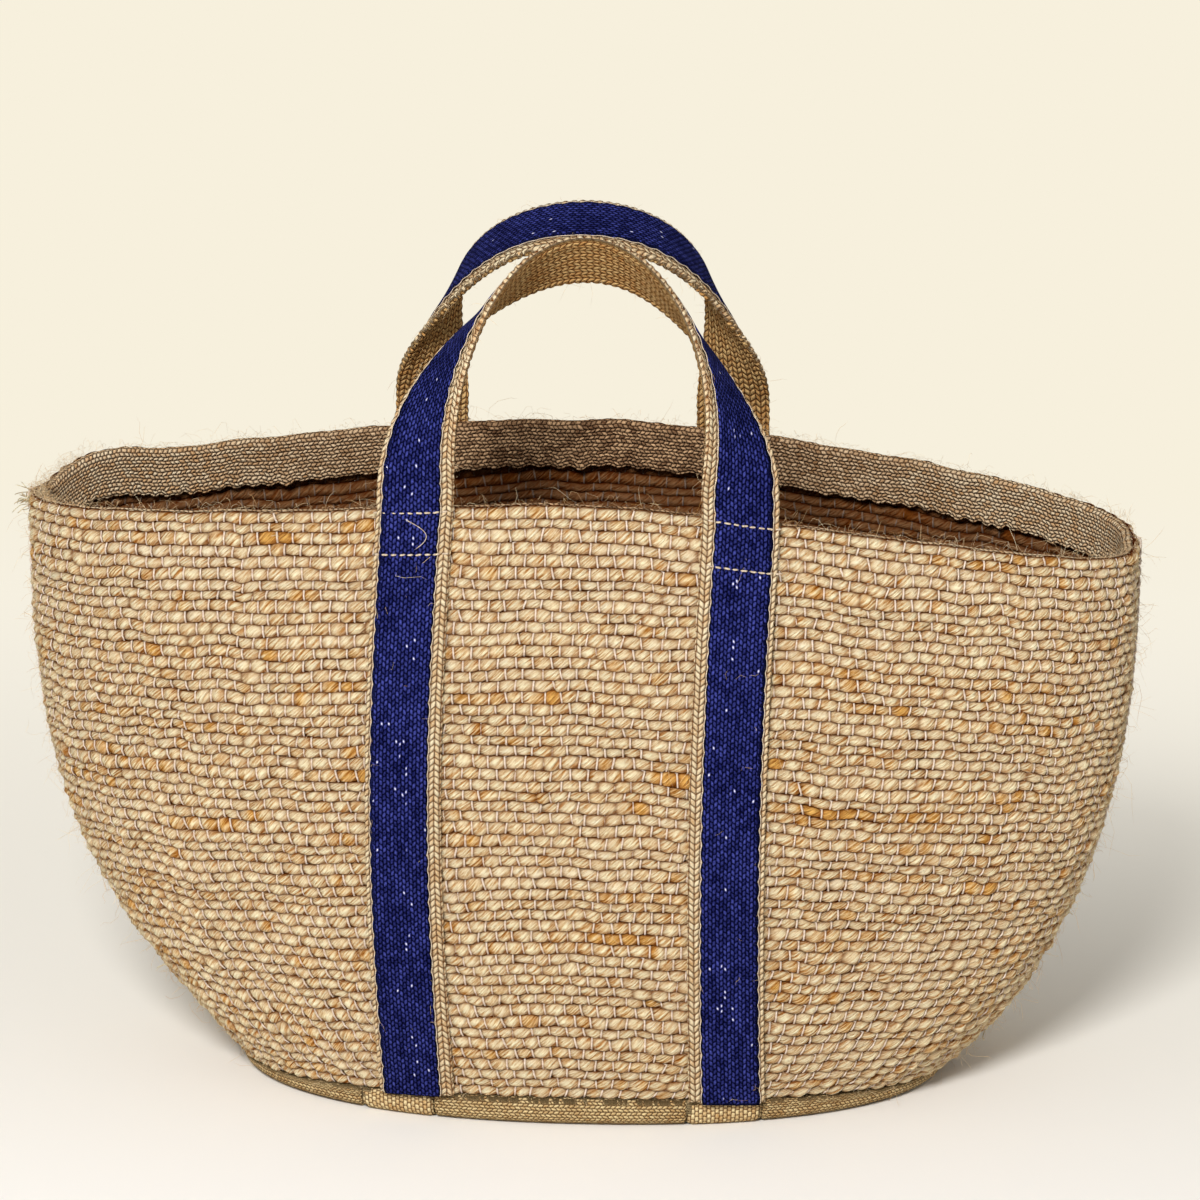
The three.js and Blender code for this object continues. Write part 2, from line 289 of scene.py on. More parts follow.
# %% [markdown]
# A material is a short recipe. Each one reads a note that was kept on the mesh, such as how far along
# the yarn a point lies, so that a pattern follows its thread round every bend. Writing a recipe as
# small steps keeps it readable: take a note, add noise, turn it into a colour, press it into the surface.

# %% Start a recipe for materials
class Recipe:
    def __init__(self, name, roughness=0.9, sheen=0.0, gloss=0.08):
        self.material = bpy.data.materials.new(name)
        self.material.use_nodes = True
        self.tree = self.material.node_tree
        self.shader = self.tree.nodes["Principled BSDF"]
        self.shader.inputs["Roughness"].default_value = roughness
        self.shader.inputs["Specular IOR Level"].default_value = gloss
        self.shader.inputs["Sheen Weight"].default_value = sheen
        self.shader.inputs["Sheen Roughness"].default_value = 0.5

    def add(self, kind, inputs, output=0, **settings):
        """A node with its settings and inputs, linked or set; gives back one of its outputs."""
        made = self.tree.nodes.new(kind)
        for key, value in settings.items():
            setattr(made, key, value)
        for key, value in inputs.items():
            if isinstance(value, bpy.types.NodeSocket):
                self.tree.links.new(value, made.inputs[key])
            else:
                made.inputs[key].default_value = value
        return made.outputs[output]

    def note(self, name, output="Vector"):
        """What the mesh keeps for each point under that name."""
        return self.add("ShaderNodeAttribute", {}, output, attribute_name=name)

    def math(self, operation, *values, clamp=False):
        return self.add("ShaderNodeMath", dict(enumerate(values)), operation=operation, use_clamp=clamp)

    def noise(self, vector, scales, detail=3.0, roughness=0.6):
        """Noise that is finer or coarser along each direction."""
        scaled = self.add("ShaderNodeMapping", {"Vector": vector, "Scale": scales})
        grain = {"Vector": scaled, "Scale": 1.0, "Detail": detail, "Roughness": roughness}
        return self.add("ShaderNodeTexNoise", grain)

    def spread(self, value, low, high, to_low=0.0, to_high=1.0):
        """Stretches what lies between low and high over a new range."""
        return self.add("ShaderNodeMapRange", {0: value, 1: low, 2: high, 3: to_low, 4: to_high})

    def mix(self, share, first, second, way="MIX"):
        colours = {0: share, 6: first, 7: second}
        return self.add("ShaderNodeMix", colours, 2, data_type="RGBA", blend_type=way)

    def finish(self, colour, height, depth):
        """The material with that colour, and that height pressed into its surface, in millimetres."""
        bump = self.add("ShaderNodeBump", {"Height": height, "Distance": depth * metres, "Strength": 1.0})
        self.tree.links.new(colour, self.shader.inputs["Base Color"])
        self.tree.links.new(bump, self.shader.inputs["Normal"])
        return self.material


def shade(hexadecimal):
    """A colour as it is written on a screen, turned into the numbers that the shader wants."""
    parts = np.array([int(hexadecimal[k : k + 2], 16) for k in (0, 2, 4)]) / 255
    return (*np.where(parts < 0.04045, parts / 12.92, ((parts + 0.055) / 1.055) ** 2.4), 1.0)


# %% [markdown]
# Jute yarn is a soft single twist of coarse fibres that scatter the light, so it has no shine. Its
# colour wanders from pale straw through honey to burnt gold where a knot or a piece of bark was spun
# in. The streaks lie on a slant because the yarn is twisted, so the noise is read along the twist and
# not along the row. Shade is painted on too: deep between two rows, where little light reaches, the
# colour is multiplied by a warm brown, because a grey painted shade would look dirty.

# %% Mix the jute yarn
def mix_jute():
    recipe = Recipe("jute_yarn", roughness=0.85, gloss=0.0)
    twist = recipe.note("twist")
    tone = recipe.note("tone", "Fac")
    plies = recipe.noise(twist, (0.14, 0.8, 0.8), detail=1.0)
    fibres = recipe.noise(twist, (0.3, 2.6, 2.6), detail=3.0, roughness=0.7)
    coarse, fine = recipe.math("MULTIPLY", plies, 0.55), recipe.math("MULTIPLY", fibres, 0.45)
    light = recipe.math("ADD", coarse, fine)
    tint = recipe.math("ADD", tone, recipe.spread(plies, 0.3, 0.7, 0.5, -0.5))
    colour = recipe.mix(recipe.spread(light, 0.34, 0.57), shade("be823a"), shade("fff4cc"))
    gold = recipe.mix(recipe.spread(light, 0.34, 0.62), shade("985818"), shade("fcc870"))
    straw = recipe.mix(recipe.spread(light, 0.32, 0.58), shade("c49650"), shade("fff2d0"))
    colour = recipe.mix(recipe.spread(tint, 0.2, 1.3), colour, gold)
    colour = recipe.mix(recipe.spread(tint, -0.2, -1.2), colour, straw)
    # Painted shade: where the light note is low, between rows, the colour is multiplied towards brown
    for reach, brown in ((0.66, "602a04"), (0.95, "c48848")):
        open_here = recipe.spread(recipe.note("open", "Fac"), 0.0, reach)
        crease_shade = recipe.mix(open_here, shade(brown), shade("ffffff"))
        colour = recipe.mix(1.0, colour, crease_shade, "MULTIPLY")
    height = recipe.math("ADD", plies, recipe.math("MULTIPLY", fibres, 0.55))
    return recipe.finish(colour, height, depth=2.6)


def mix_tie():
    recipe = Recipe("tie_thread", roughness=0.8, sheen=0.1)
    strands = recipe.noise(recipe.note("twist"), (0.5, 2.0, 2.0), detail=2.0)
    colour = recipe.mix(recipe.spread(strands, 0.35, 0.65), shade("ccb094"), shade("fbeee0"))
    # Painted shade where the tie dives between the rows or runs behind them
    colour = recipe.mix(recipe.note("open", "Fac"), shade("5a3616"), colour)
    return recipe.finish(colour, strands, depth=0.4)


jute, tie = mix_jute(), mix_tie()
print("Mixed:", jute.name, "and", tie.name)

# %% [markdown]
# No two rows of hand-spun yarn are equally thick, and a thick one lifts the rows above it. So each row
# first gets a thickness all round the basket: its own average, slow waves, and a few slubs. Added up from
# the base and stretched to the wall's height, they say where every row lies.

# %% Plan the rows of yarn
row_count = 54
around_steps = 720
wall_length = 316
patch_count, slubs_per_row = 70, 5
# Of a thick place in one row, this share is made up by the row above
made_up = 0.75
bow_count, bow_height = 6, 0.055
angles = np.linspace(0, np.pi, around_steps + 1)
luck = np.random.default_rng(11)


def waves(around, least, most, count=7):
    """A slow, closed wander round the basket, about 1 high."""
    rates = luck.integers(least, most, count)
    turns = luck.uniform(0, 2 * np.pi, count)
    return np.cos(rates * around[:, None] + turns).sum(1) / np.sqrt(count / 2)


def away_from(place, around):
    """How far round the basket each point lies from a place, the short way."""
    return np.abs((around - place + np.pi) % (2 * np.pi) - np.pi)


def golden_patches(around):
    """Stretches of a few rows where knots and bark were spun in."""
    patches = np.zeros((row_count, len(around)))
    for _ in range(patch_count):
        apart = away_from(luck.uniform(0, 2 * np.pi), around) / luck.uniform(0.02, 0.11)
        rows_off = (np.arange(row_count) - luck.integers(row_count)) / luck.uniform(0.5, 1.6)
        patches += luck.uniform(0.4, 1.3) * np.exp(-rows_off[:, None] ** 2 - apart**2)
    return patches


def plan_rows():
    """The edges of all rows, as shares of the wall's height, and their tones, for each side."""
    around = np.concatenate([angles, 2 * np.pi - angles[::-1][1:-1]])
    thickness, tone = [], []
    for _ in range(row_count):
        swell = luck.uniform(0.84, 1.18)
        swell = swell * (1 + 0.045 * waves(around, 3, 14) + 0.035 * waves(around, 30, 70))
        colour = luck.normal(-0.05, 0.22) + 0.3 * waves(around, 3, 14) + 0.25 * waves(around, 40, 120)
        for _ in range(luck.poisson(slubs_per_row)):
            apart = away_from(luck.uniform(0, 2 * np.pi), around)
            bump = np.exp(-((apart / luck.uniform(0.012, 0.04)) ** 2))
            swell = swell + luck.uniform(0.05, 0.3) * bump
            colour = colour + luck.uniform(0.2, 1.3) * bump
        thickness.append(swell)
        tone.append(colour)
    thickness = np.array(thickness)
    own = thickness.mean(1, keepdims=True)
    local = thickness - own
    local[1:] -= made_up * local[:-1]
    edges = np.vstack([np.zeros(len(around)), np.cumsum(own + local, 0)])
    edges /= edges[-1]
    for count in range(1, bow_count + 1):
        bow = np.sin(np.pi * count * np.arange(row_count + 1) / row_count)
        edges += bow_height / row_count * bow[:, None] * waves(around, 4, 36)
    tone = np.array(tone) + golden_patches(around)
    front = slice(0, around_steps + 1)
    behind = np.concatenate([[0], np.arange(len(around) - 1, around_steps - 1, -1)])
    return {-1: (edges[:, front], tone[:, front]), 1: (edges[:, behind], tone[:, behind])}


row_plans = plan_rows()
print("Rows:", row_count, "of about", round(wall_length / row_count, 2), "mm")

# %% [markdown]
# The ties are thin warps that run straight up the cloth, a few millimetres apart. Each goes over one row
# and behind the next, and its neighbour does the opposite, so that every row shows a tie at each second
# warp and the ties of two rows stand like bricks. Where a tie crosses, it bites into the soft yarn.

# %% Plan the ties
warp_spacing = 4.6
warp_reach = 74
warp_jitter = 0.9
seam_margin = 2.5
top_drop = 0.7
warp_turns = luck.uniform(0, 2 * np.pi, (2, 2 * warp_reach + 1))


class Row:
    """The middle line of one row on one side, measured along the cloth from the middle of the panel."""

    def __init__(self, side, row):
        edges, tone = row_plans[side]
        top = share_below_rim(angles, top_drop)
        self.side, self.row, self.tone = side, row, tone[row]
        self.low, self.high = edges[row] * top, edges[row + 1] * top
        self.middle = (self.low + self.high) / 2
        length = measure(wall_point(side, angles, self.middle))
        self.length = length - length[around_steps // 2]
        slow, quick = warp_turns
        wander = 0.5 * np.sin(0.4 * row + slow) + 0.35 * np.sin(1.1 * row + quick * (2 + side))
        warps = np.arange(-warp_reach, warp_reach + 1)
        places = warps * warp_spacing + wander + luck.uniform(-warp_jitter, warp_jitter, len(warps))
        kept = (places > self.length[0] + seam_margin) & (places < self.length[-1] - seam_margin)
        self.warps, self.places = warps[kept], places[kept]

    def at(self, places):
        """The angle there, the share of the row's middle, and half its thickness as a share."""
        angle = np.interp(places, self.length, angles)
        low, high = np.interp(angle, angles, self.low), np.interp(angle, angles, self.high)
        return angle, (low + high) / 2, (high - low) / 2


rows = {side: [Row(side, row) for row in range(row_count)] for side in (-1, 1)}
print("Warps at the mouth:", len(rows[-1][-1].warps), "and at the base:", len(rows[-1][0].warps))

# %% [markdown]
# A row is a tube of eight sides. Between two ties it swells to a bead, at a tie it is pinched, outside
# and inside in turn. The twist that the material reads is worked out here: it turns as it goes along.

# %% Spin the rows of yarn
yarn_radius = wall_thickness / 2
yarn_sides = 8
steps_per_warp = 3
twist_length = 24
# Painted shade on the inner side of every row, where the basket's inside lies in shade
inner_light = 0.24
row_end = 0.6
beads_kept = 400
plumpness, lumpiness, sway_reach = 0.13, 0.12, 0.3
# Each row reads another part of the noise, so that no two rows show the same streaks
row_turn, row_offset = 2.1, 700


def bead(distance):
    """From 0 at a tie to 1 in the middle between two ties."""
    return np.sin(np.pi / 2 * np.clip(distance, 0, 1)) ** 0.75


def row_columns(row):
    """Places along a row, from one seam to the other, with the number of the warp there."""
    warp = np.arange(row.warps[0] * steps_per_warp, row.warps[-1] * steps_per_warp + 1) / steps_per_warp
    place = np.interp(warp, row.warps, row.places)
    first = np.array([row.length[0], row.length[0] + row_end])
    last = np.array([row.length[-1] - row_end, row.length[-1]])
    left = warp[0] - (place[0] - first) / warp_spacing
    right = warp[-1] + (last - place[-1]) / warp_spacing
    return np.concatenate([first, place, last]), np.concatenate([left, warp, right])


def row_radii(row, warp):
    """How far the yarn reaches outwards, inwards and sideways, how it sways, and its painted light."""
    phase = (warp + row.row) % 2
    outside = np.minimum(phase, 2 - phase)
    own = luck.uniform(-1, 1, len(warp) + 2)
    lumps = lumpiness * np.convolve(own, [0.25, 0.5, 0.25], "valid")
    which = np.clip(((warp + row.row) / 2 + beads_kept // 2).astype(int), 0, beads_kept - 1)
    plump = luck.normal(0, plumpness, beads_kept)[which] + 1.5 * lumps
    # A tie presses the yarn down to half its radius; between two ties it bulges past it
    out = yarn_radius * (0.5 + 0.57 * bead(outside) + plump)
    inward = yarn_radius * (0.62 + 0.40 * bead(1 - outside) + lumps)
    sideways = 1.06 + 0.12 * bead(outside) + 0.4 * plump
    sway = -0.35 * np.cos(np.pi * phase) + luck.normal(0, sway_reach, beads_kept)[which]
    # The last value is painted light, dimmer in the pinch at a tie, where the yarn lies in shade
    return out, inward, sideways, sway, 0.4 + 0.6 * bead(outside)


def spin_rows(name, side, first, last):
    """One mesh of neighbouring rows, with the notes that the jute recipe reads."""
    columns = [row_columns(row) for row in rows[side][first:last]]
    mesh, grid, column, turn = flat_grids(name, [(len(place) - 1, yarn_sides) for place, _ in columns])
    angle = -side * 2 * np.pi * turn / yarn_sides
    points, twist = np.empty((len(grid), 3)), np.empty((len(grid), 3))
    tone = np.empty(len(grid))
    # Painted shade: where a strand faces its neighbours it is dark,
    # and what faces down gets a little less light
    light = np.abs(np.cos(angle)) * (1 - 0.25 * np.maximum(0, -np.sin(angle)))
    for number, (place, warp) in enumerate(columns):
        row = rows[side][first + number]
        out, inward, sideways, sway, clear = row_radii(row, warp)
        ends = np.ones(len(place))
        ends[[0, -1]] = 0
        bend, t, half = row.at(place)
        centre, normal, climb = wall_frame(side, bend, t)
        mine = grid == number
        which, around = column[mine], angle[mine]
        reach = np.where(np.cos(around) > 0, out[which], inward[which]) * np.cos(around) * ends[which]
        lift = (half * sideways)[which] * np.sin(around) * ends[which]
        away = reach - yarn_radius + sway[which]
        points[mine] = centre[which] + normal[which] * away[:, None] + climb[which] * lift[:, None]
        turned = around + side * 2 * np.pi * place[which] / twist_length + row.row * row_turn
        along = place[which] + row_offset * row.row
        twist[mine] = np.stack([along, yarn_radius * np.cos(turned), yarn_radius * np.sin(turned)], -1)
        tone[mine] = np.interp(bend, angles, row.tone)[which]
        # Painted shade: the inner side of a row gets inner_light, its outer side dims at the ties
        light[mine] *= np.where(np.cos(around) > 0, clear[which], inner_light)
    return lay(mesh, points, twist=twist, tone=tone, open=light)


side_names = {-1: "front", 1: "rear"}
third = row_count // 3
bands = {"low": (0, third), "middle": (third, 2 * third), "high": (2 * third, row_count)}
for side, side_name in side_names.items():
    for band, (first, last) in bands.items():
        weave = spin_rows(f"{side_name}_yarn_{band}", side, first, last)
        piece(weave, jute, "basket", "jute_yarn", f"{side_name}_panel")

# %% [markdown]
# A tie is one thread that climbs from row to row, over and behind in turn. Four corners in its section
# are enough at this size, because smooth shading rounds them.

# %% Lace the ties
tie_width, tie_thickness = 1.0, 0.8
tie_sides = 4
tie_slant = 0.45
tie_reach = 0.68 * yarn_radius + 0.3 * tie_thickness - 0.35
strand_offset = 37
over = np.radians([-55, 0, 55])
# Painted light of a tie's points: dark deep between two rows and behind the yarn, bright over it
deep, over_light, behind_light = 0.1, [0.95, 1, 0.95], [0.1, 0.2, 0.1]


def tie_path(side, warp):
    """The middle of one tie, and how open to the light each of its points is."""
    crossed = [row for row in rows[side] if warp in row.warps]
    path, light = [], []
    for row in crossed:
        place = row.places[row.warps == warp]
        bend, t, half = (value[0] for value in row.at(place))
        centre, normal, climb = wall_frame(side, bend, t)
        outside = 1 if (warp + row.row) % 2 == 0 else -1
        reach = outside * tie_reach
        slant = unit(np.cross(climb, normal)) * luck.normal(0, tie_slant)
        path.append(centre - climb * half - normal * yarn_radius)
        for lean in over:
            away = normal * (reach * np.cos(lean) - yarn_radius)
            path.append(centre + away + (climb * half * 1.05 + slant) * np.sin(lean))
        light += [deep] + (over_light if outside > 0 else behind_light)
    path.append(centre + climb * half - normal * yarn_radius)
    return np.array(path), np.array(light + [deep])


def strand_points(path, across, column, turn, sides, width, thickness):
    """Points of a flat strand that follows a path, with its width along the given direction."""
    tangent = unit(np.gradient(path, axis=0))
    across = unit(across - tangent * (across * tangent).sum(-1, keepdims=True))
    upright = np.cross(across, tangent)
    size = np.ones(len(path))
    size[[0, -1]] = 0
    angle = -2 * np.pi * turn / sides
    wide = np.cos(angle) * width / 2 * size[column]
    thick = np.sin(angle) * thickness / 2 * size[column]
    return path[column] + across[column] * wide[:, None] + upright[column] * thick[:, None]


def lace(name, paths, across, sides, width, thickness, lights=None):
    """A mesh of strands, one for each path."""
    mesh, grid, column, turn = flat_grids(name, [(len(path) - 1, sides) for path in paths])
    points, twist, light = np.empty((len(grid), 3)), np.empty((len(grid), 3)), np.ones(len(grid))
    size = sides, width, thickness
    for number, path in enumerate(paths):
        mine = grid == number
        if lights:
            light[mine] = lights[number][column[mine]]
        points[mine] = strand_points(path, across[number], column[mine], turn[mine], *size)
        along = measure(path)[column[mine]] + strand_offset * number
        turned = 2 * np.pi * turn[mine] / sides + along / 2
        twist[mine] = np.stack([along, width * np.cos(turned), width * np.sin(turned)], -1)
    return lay(mesh, points, twist=twist, open=light)


# The share of the height at which each tie takes its one direction across, and the fewest rows it crosses
high_up, fewest = 0.9, 3
for side, side_name in side_names.items():
    for half, chosen in {"left": range(-warp_reach, 0), "right": range(0, warp_reach + 1)}.items():
        warps = [warp for warp in chosen if sum(warp in row.warps for row in rows[side]) >= fewest]
        paths, lights = zip(*(tie_path(side, warp) for warp in warps))
        outwards = [wall_frame(side, angle_at(path[:, 0], high_up), high_up)[1] for path in paths]
        across = [unit(np.cross(outward, (0, 0, side))) for outward in outwards]
        ties = lace(f"{side_name}_ties_{half}", paths, across, tie_sides, tie_width, tie_thickness, lights)
        piece(ties, tie, "basket", "jute_yarn", f"{side_name}_panel")

# %% [markdown]
# The basket's bands are all woven in narrow rows of short strands: chevrons in the webbing, upright
# dashes in the blue tape, slanted dashes in the facing. One recipe covers them. It finds the row and
# the strand that a point lies in, rounds each strand, and gives each its own random shade. Between the
# strands the colour is multiplied by a warm colour of the creases, a painted shade. The pale flecks in
# the blue tape are single strands picked at random. The webbing's back gets painted shade: it is a
# little warmer and darker than its face. The facing gets painted light: it is paler towards the ends.

# %% Write a recipe for woven bands
back_mark = 500
fleck_middle = 0.7


class Band(Recipe):
    def strands(self, pitch, dash, lean, stagger, wander):
        """The cloth note, how high the cloth stands there, and a random number for each strand."""
        cloth = self.note("cloth")
        sway = self.add("ShaderNodeTexNoise", {"Vector": cloth, "Scale": 0.12, "Detail": 2.0}, "Color")
        sway = self.add("ShaderNodeVectorMath", {0: sway, 1: (2 * wander,) * 3}, operation="MULTIPLY")
        place = self.add("ShaderNodeVectorMath", {0: cloth, 1: sway}, operation="ADD")
        place = self.add("ShaderNodeSeparateXYZ", {"Vector": place}).node
        across = self.math("DIVIDE", place.outputs["X"], pitch)
        row, beside = self.math("FLOOR", across), self.math("FRACT", across)
        odd = self.math("FLOORED_MODULO", row, 2.0)
        turned = self.math("MULTIPLY_ADD", odd, -2.0, 1.0)
        slant = self.math("ADD", self.math("MULTIPLY", beside, turned), odd)
        dashes = self.math("DIVIDE", place.outputs["Y"], dash)
        along = self.math("ADD", dashes, self.math("MULTIPLY", slant, lean))
        along = self.math("ADD", along, self.math("MULTIPLY", row, stagger))
        strand, ahead = self.math("FLOOR", along), self.math("FRACT", along)
        cell = self.add("ShaderNodeCombineXYZ", {"X": row, "Y": strand})
        chance = self.add("ShaderNodeTexWhiteNoise", {"Vector": cell})
        rounds = [self.math("SINE", self.math("MULTIPLY", share, np.pi)) for share in (beside, ahead)]
        height = self.math("POWER", self.math("MULTIPLY", *rounds), 0.5)
        return cloth, height, chance


def mix_band(
    name, shades, weave, crease_shade, depth,
    mottle=0.4, lit=(0.1, 0.75), wander=0.5, flecks=None, pale=None, back=None,
):
    """Cloth between two shades. Its weave is the pitch, dash, lean and stagger of the strands."""
    recipe = Band(name, roughness=0.85, gloss=0.02)
    cloth, height, chance = recipe.strands(*weave, wander)
    fibres = recipe.noise(cloth, (1.6, 1.1, 1.0), detail=3.0, roughness=0.7)
    patches = recipe.noise(cloth, (0.05, 0.03, 1.0), detail=1.0)
    strand_share = recipe.math("MULTIPLY", chance, mottle)
    own = recipe.math("ADD", strand_share, recipe.spread(fibres, 0.3, 0.7, 0.0, 1 - mottle))
    own = recipe.math("ADD", own, recipe.spread(patches, 0.35, 0.65, -0.06, 0.06), clamp=True)
    if flecks:
        own = recipe.math("POWER", own, 1.6)
    colour = recipe.mix(own, *map(shade, shades))
    # Painted light: the cloth grows paler towards the basket's ends and stays darker in the shaded middle
    if pale:
        where = recipe.add("ShaderNodeTexCoord", {}, "Object")
        place = recipe.add("ShaderNodeSeparateXYZ", {"Vector": where}, "X")
        painted_end_light = recipe.spread(recipe.math("ABSOLUTE", place), 0.06, 0.22)
        colour = recipe.mix(painted_end_light, colour, recipe.mix(own, shade(pale[0]), shade(pale[1])))
    column = recipe.add("ShaderNodeSeparateXYZ", {"Vector": cloth}, "X")
    if flecks:
        beside_middle = recipe.math("ABSOLUTE", recipe.math("SUBTRACT", column, fleck_middle))
        picked = recipe.math("GREATER_THAN", chance, recipe.spread(beside_middle, 1.4, 2.2, 0.93, 0.988))
        seen = recipe.math("MULTIPLY", picked, recipe.spread(height, 0.8, 0.98))
        colour = recipe.mix(seen, colour, shade(flecks))
    # Painted shade: between the strands the colour is multiplied by the colour of the creases
    strand_shade = recipe.mix(recipe.spread(height, *lit), shade(crease_shade), shade("ffffff"))
    colour = recipe.mix(1.0, colour, strand_shade, "MULTIPLY")
    # Painted shade on the webbing's back, which faces the wall or lies under the handle
    if back:
        behind = recipe.math("GREATER_THAN", column, back_mark / 2)
        colour = recipe.mix(behind, colour, recipe.mix(1.0, colour, shade(back), "MULTIPLY"))
    height = recipe.math("ADD", height, recipe.math("MULTIPLY", fibres, 0.5))
    return recipe.finish(colour, height, depth)


# The webbing's back is given painted shade, a warmer and darker multiply
natural = mix_band(
    "natural_webbing", ("c48e4e", "fff4d0"), (2.79, 3.3, 0.6, 0.0), crease_shade="86582a", depth=2.2,
    back="f2dab4",
)
blue = mix_band(
    "blue_tape", ("000236", "545cb8"), (1.9, 3.1, 0.3, 0.5), crease_shade="101050", depth=1.1,
    lit=(0.3, 1.0), flecks="d8d6ea",
)
# The facing is painted lighter towards the ends and darker in the middle, where shade falls
facing_cloth = mix_band(
    "jute_tape", ("52280c", "f6ca9a"), (2.0, 2.7, 0.35, 0.4), crease_shade="583418", depth=2.4,
    mottle=0.6, wander=1.3, pale=("d09a60", "ffecc8"),
)
base_cloth = mix_band(
    "base_cloth", ("a06c2e", "ffe8b0"), (1.9, 2.7, 0.4, 0.5), crease_shade="6a4218", depth=1.8
)
sling_cloth = mix_band(
    "sling_webbing", ("b47e3c", "fff0be"), (2.1, 2.4, 0.0, 0.5), crease_shade="7a4e20", depth=1.2
)
print("Mixed five woven bands")

# %% [markdown]
# A band is a closed sheet: it has a face, a back and two rounded edges. It could be a flat strip with a
# Solidify modifier, but its edges would be square. Here one grid is folded round instead: its long way
# runs along the band, and its short way goes over the face, round an edge and home along the back.

# %% Fold a grid into a band
edge_power = 8


def fold(name, bed, out, columns, middle, half, relief=None, along=None, ring=False):
    """A band over a bed of points with their outward directions, both by station and column.

    Its middle lies that far off the bed, and half its thickness stands on each side of the middle."""
    stations, count = bed.shape[0], bed.shape[1] - 1
    mesh, _, station, turn = flat_grids(name, [(stations - 1, 2 * count)])
    column = np.where(turn <= count, turn, 2 * count - turn)
    face = np.where(turn <= count, 1.0, -1.0)
    flat = columns if np.ndim(columns) == 1 else columns[0]
    spread = 2 * (flat - flat[0]) / (flat[-1] - flat[0]) - 1
    swell = (1 - np.abs(spread) ** edge_power) ** (1 / edge_power)
    ends = np.ones(stations)
    if not ring:
        ends[[0, -1]] = 0
    height = middle + face * half * swell[column] * ends[station]
    if relief is not None:
        height = height + face * (relief * swell)[station, column] * ends[station]
    points = bed[station, column] + out[station, column] * height[:, None]
    if along is None:
        along = measure(bed[:, count // 2])
    columns = np.broadcast_to(columns, bed.shape[:2])
    marked = columns[station, column] + np.where(face > 0, 0, back_mark)
    cloth = np.stack([marked, along[station], 0 * height], -1)
    return lay(mesh, points, outwards=True, cloth=cloth)


# %% [markdown]
# The facing is a soft tape of fine jute, folded over the top row and sewn down inside the mouth. Its
# section is bent like an L, so the bed follows that bend first: in over the rim and down the inside.
# Its lower edge isn't sewn everywhere, and lifts off the wall in slow waves.

# %% Fold the facing over the rim
facing_height, facing_thickness, cloth_gap = 25, 2.5, 0.3
facing_half, skirt_outside = 1.05, -2.9
sewn_depth, loose_depth = 8, 17
facing_steps, ring_steps = 22, 900


def ring_places(steps):
    """Side and angle of each place once round: the front from left to right, then the rear back again."""
    turn = np.arange(steps + 1) / steps * 2
    return np.where(turn <= 1, -1, 1), np.pi * np.where(turn <= 1, turn, 2 - turn)


def bend_facing():
    """The middle line of its section: up a little way outside, over the rim, and down inside."""
    outer, inner = skirt_outside, -(wall_thickness + cloth_gap + facing_thickness / 2)
    corner, skirt = 1.9, 0.4
    flat = outer - inner - 2 * corner
    turn = corner * np.pi / 2
    steps = np.cumsum([0, skirt, turn, flat, turn, facing_height - corner])
    gone = np.linspace(0, steps[-1], facing_steps + 1)
    first, second = (np.clip((gone - steps[k]) / corner, 0, np.pi / 2) for k in (1, 3))
    outward = outer - corner * (1 - np.cos(first)) - np.clip(gone - steps[2], 0, flat)
    outward = outward - corner * np.sin(second)
    drop = np.maximum(steps[1] - gone, 0) + corner * (1 - np.sin(first)) + corner * (1 - np.cos(second))
    drop = drop + np.maximum(gone - steps[4], 0) + facing_thickness / 2
    return gone, outward, drop, first + second


def fold_facing():
    """The whole ring of facing, with its lower edge lifted and ragged where it isn't sewn."""
    side, angle = ring_places(ring_steps)
    gone, outward, drop, bend = bend_facing()
    point, normal, _ = wall_frame(side, angle, 1.0, level=True)
    around = np.arange(ring_steps + 1) / ring_steps * 2 * np.pi
    lift = 0.9 * waves(around, 5, 30) + 0.5 * waves(around, 40, 90)
    # Only what hangs down inside, where the bend is a half turn, can come loose
    inside = bend > 3
    loose = (np.maximum(drop - sewn_depth, 0) / loose_depth) ** 2 * inside
    away = outward + np.minimum(0, lift - 0.6)[:, None] * loose
    ragged = 0.45 * waves(around, 60, 200)[:, None] * loose
    bed = point[:, None] + normal[:, None] * away[..., None] - up * (drop + ragged)[..., None]
    out = normal[:, None] * np.cos(bend)[:, None] + up * np.sin(bend)[:, None]
    return fold("facing", bed, out, gone, 0.0, facing_half, along=measure(point), ring=True)


piece(fold_facing(), facing_cloth, "basket", "jute_tape", "rim_facing")

# %% [markdown]
# The base is a shallow tray sewn from the same kind of cloth: a floor with its edge turned up to the
# wall. It is made as one ring of sections, each from the top of the edge down, round the corner and in
# to the middle of the floor, then back along the inside.

# %% Sew the base
webbing_width, stripe_width = 39, 30
sling_middles = {"left": -92, "right": 80}
tray_thickness, sling_thickness, tray_rounding = 3, 2.5, 5
tray_inset = tray_bottom = sling_thickness + cloth_gap
tray_floor = tray_bottom + tray_thickness
tray_swell, section_gather = 0.5, 0.25


def beside_base(side, angle, depth_in, height):
    """Points at the given heights, that far inside the outline of the wall's foot."""
    point = on_wall(side, angle, 0.0, -depth_in, level=True)
    return point * (1, 1, 0) + up * np.asarray(height)[..., None]


def tray_section(side, angle, outward, corner_steps=6):
    """Places on the outside of the tray, from the top of its edge down and round to its underside."""
    edge_top = seam_height(-np.cos(angle)) - cloth_gap
    foot = np.minimum(tray_bottom + tray_rounding, edge_top - cloth_gap)
    inset, under = tray_inset - outward, tray_bottom - outward
    rows_down = [(np.full_like(angle, inset), between(edge_top, foot, share)) for share in (0, 0.35, 0.7)]
    for bend in np.linspace(0, np.pi / 2, corner_steps):
        inwards = between(inset, tray_inset + tray_rounding, 1 - np.cos(bend))
        rows_down.append((np.full_like(angle, inwards), between(foot, under, np.sin(bend))))
    return np.stack([beside_base(side, angle, inwards, height) for inwards, height in rows_down], 1)


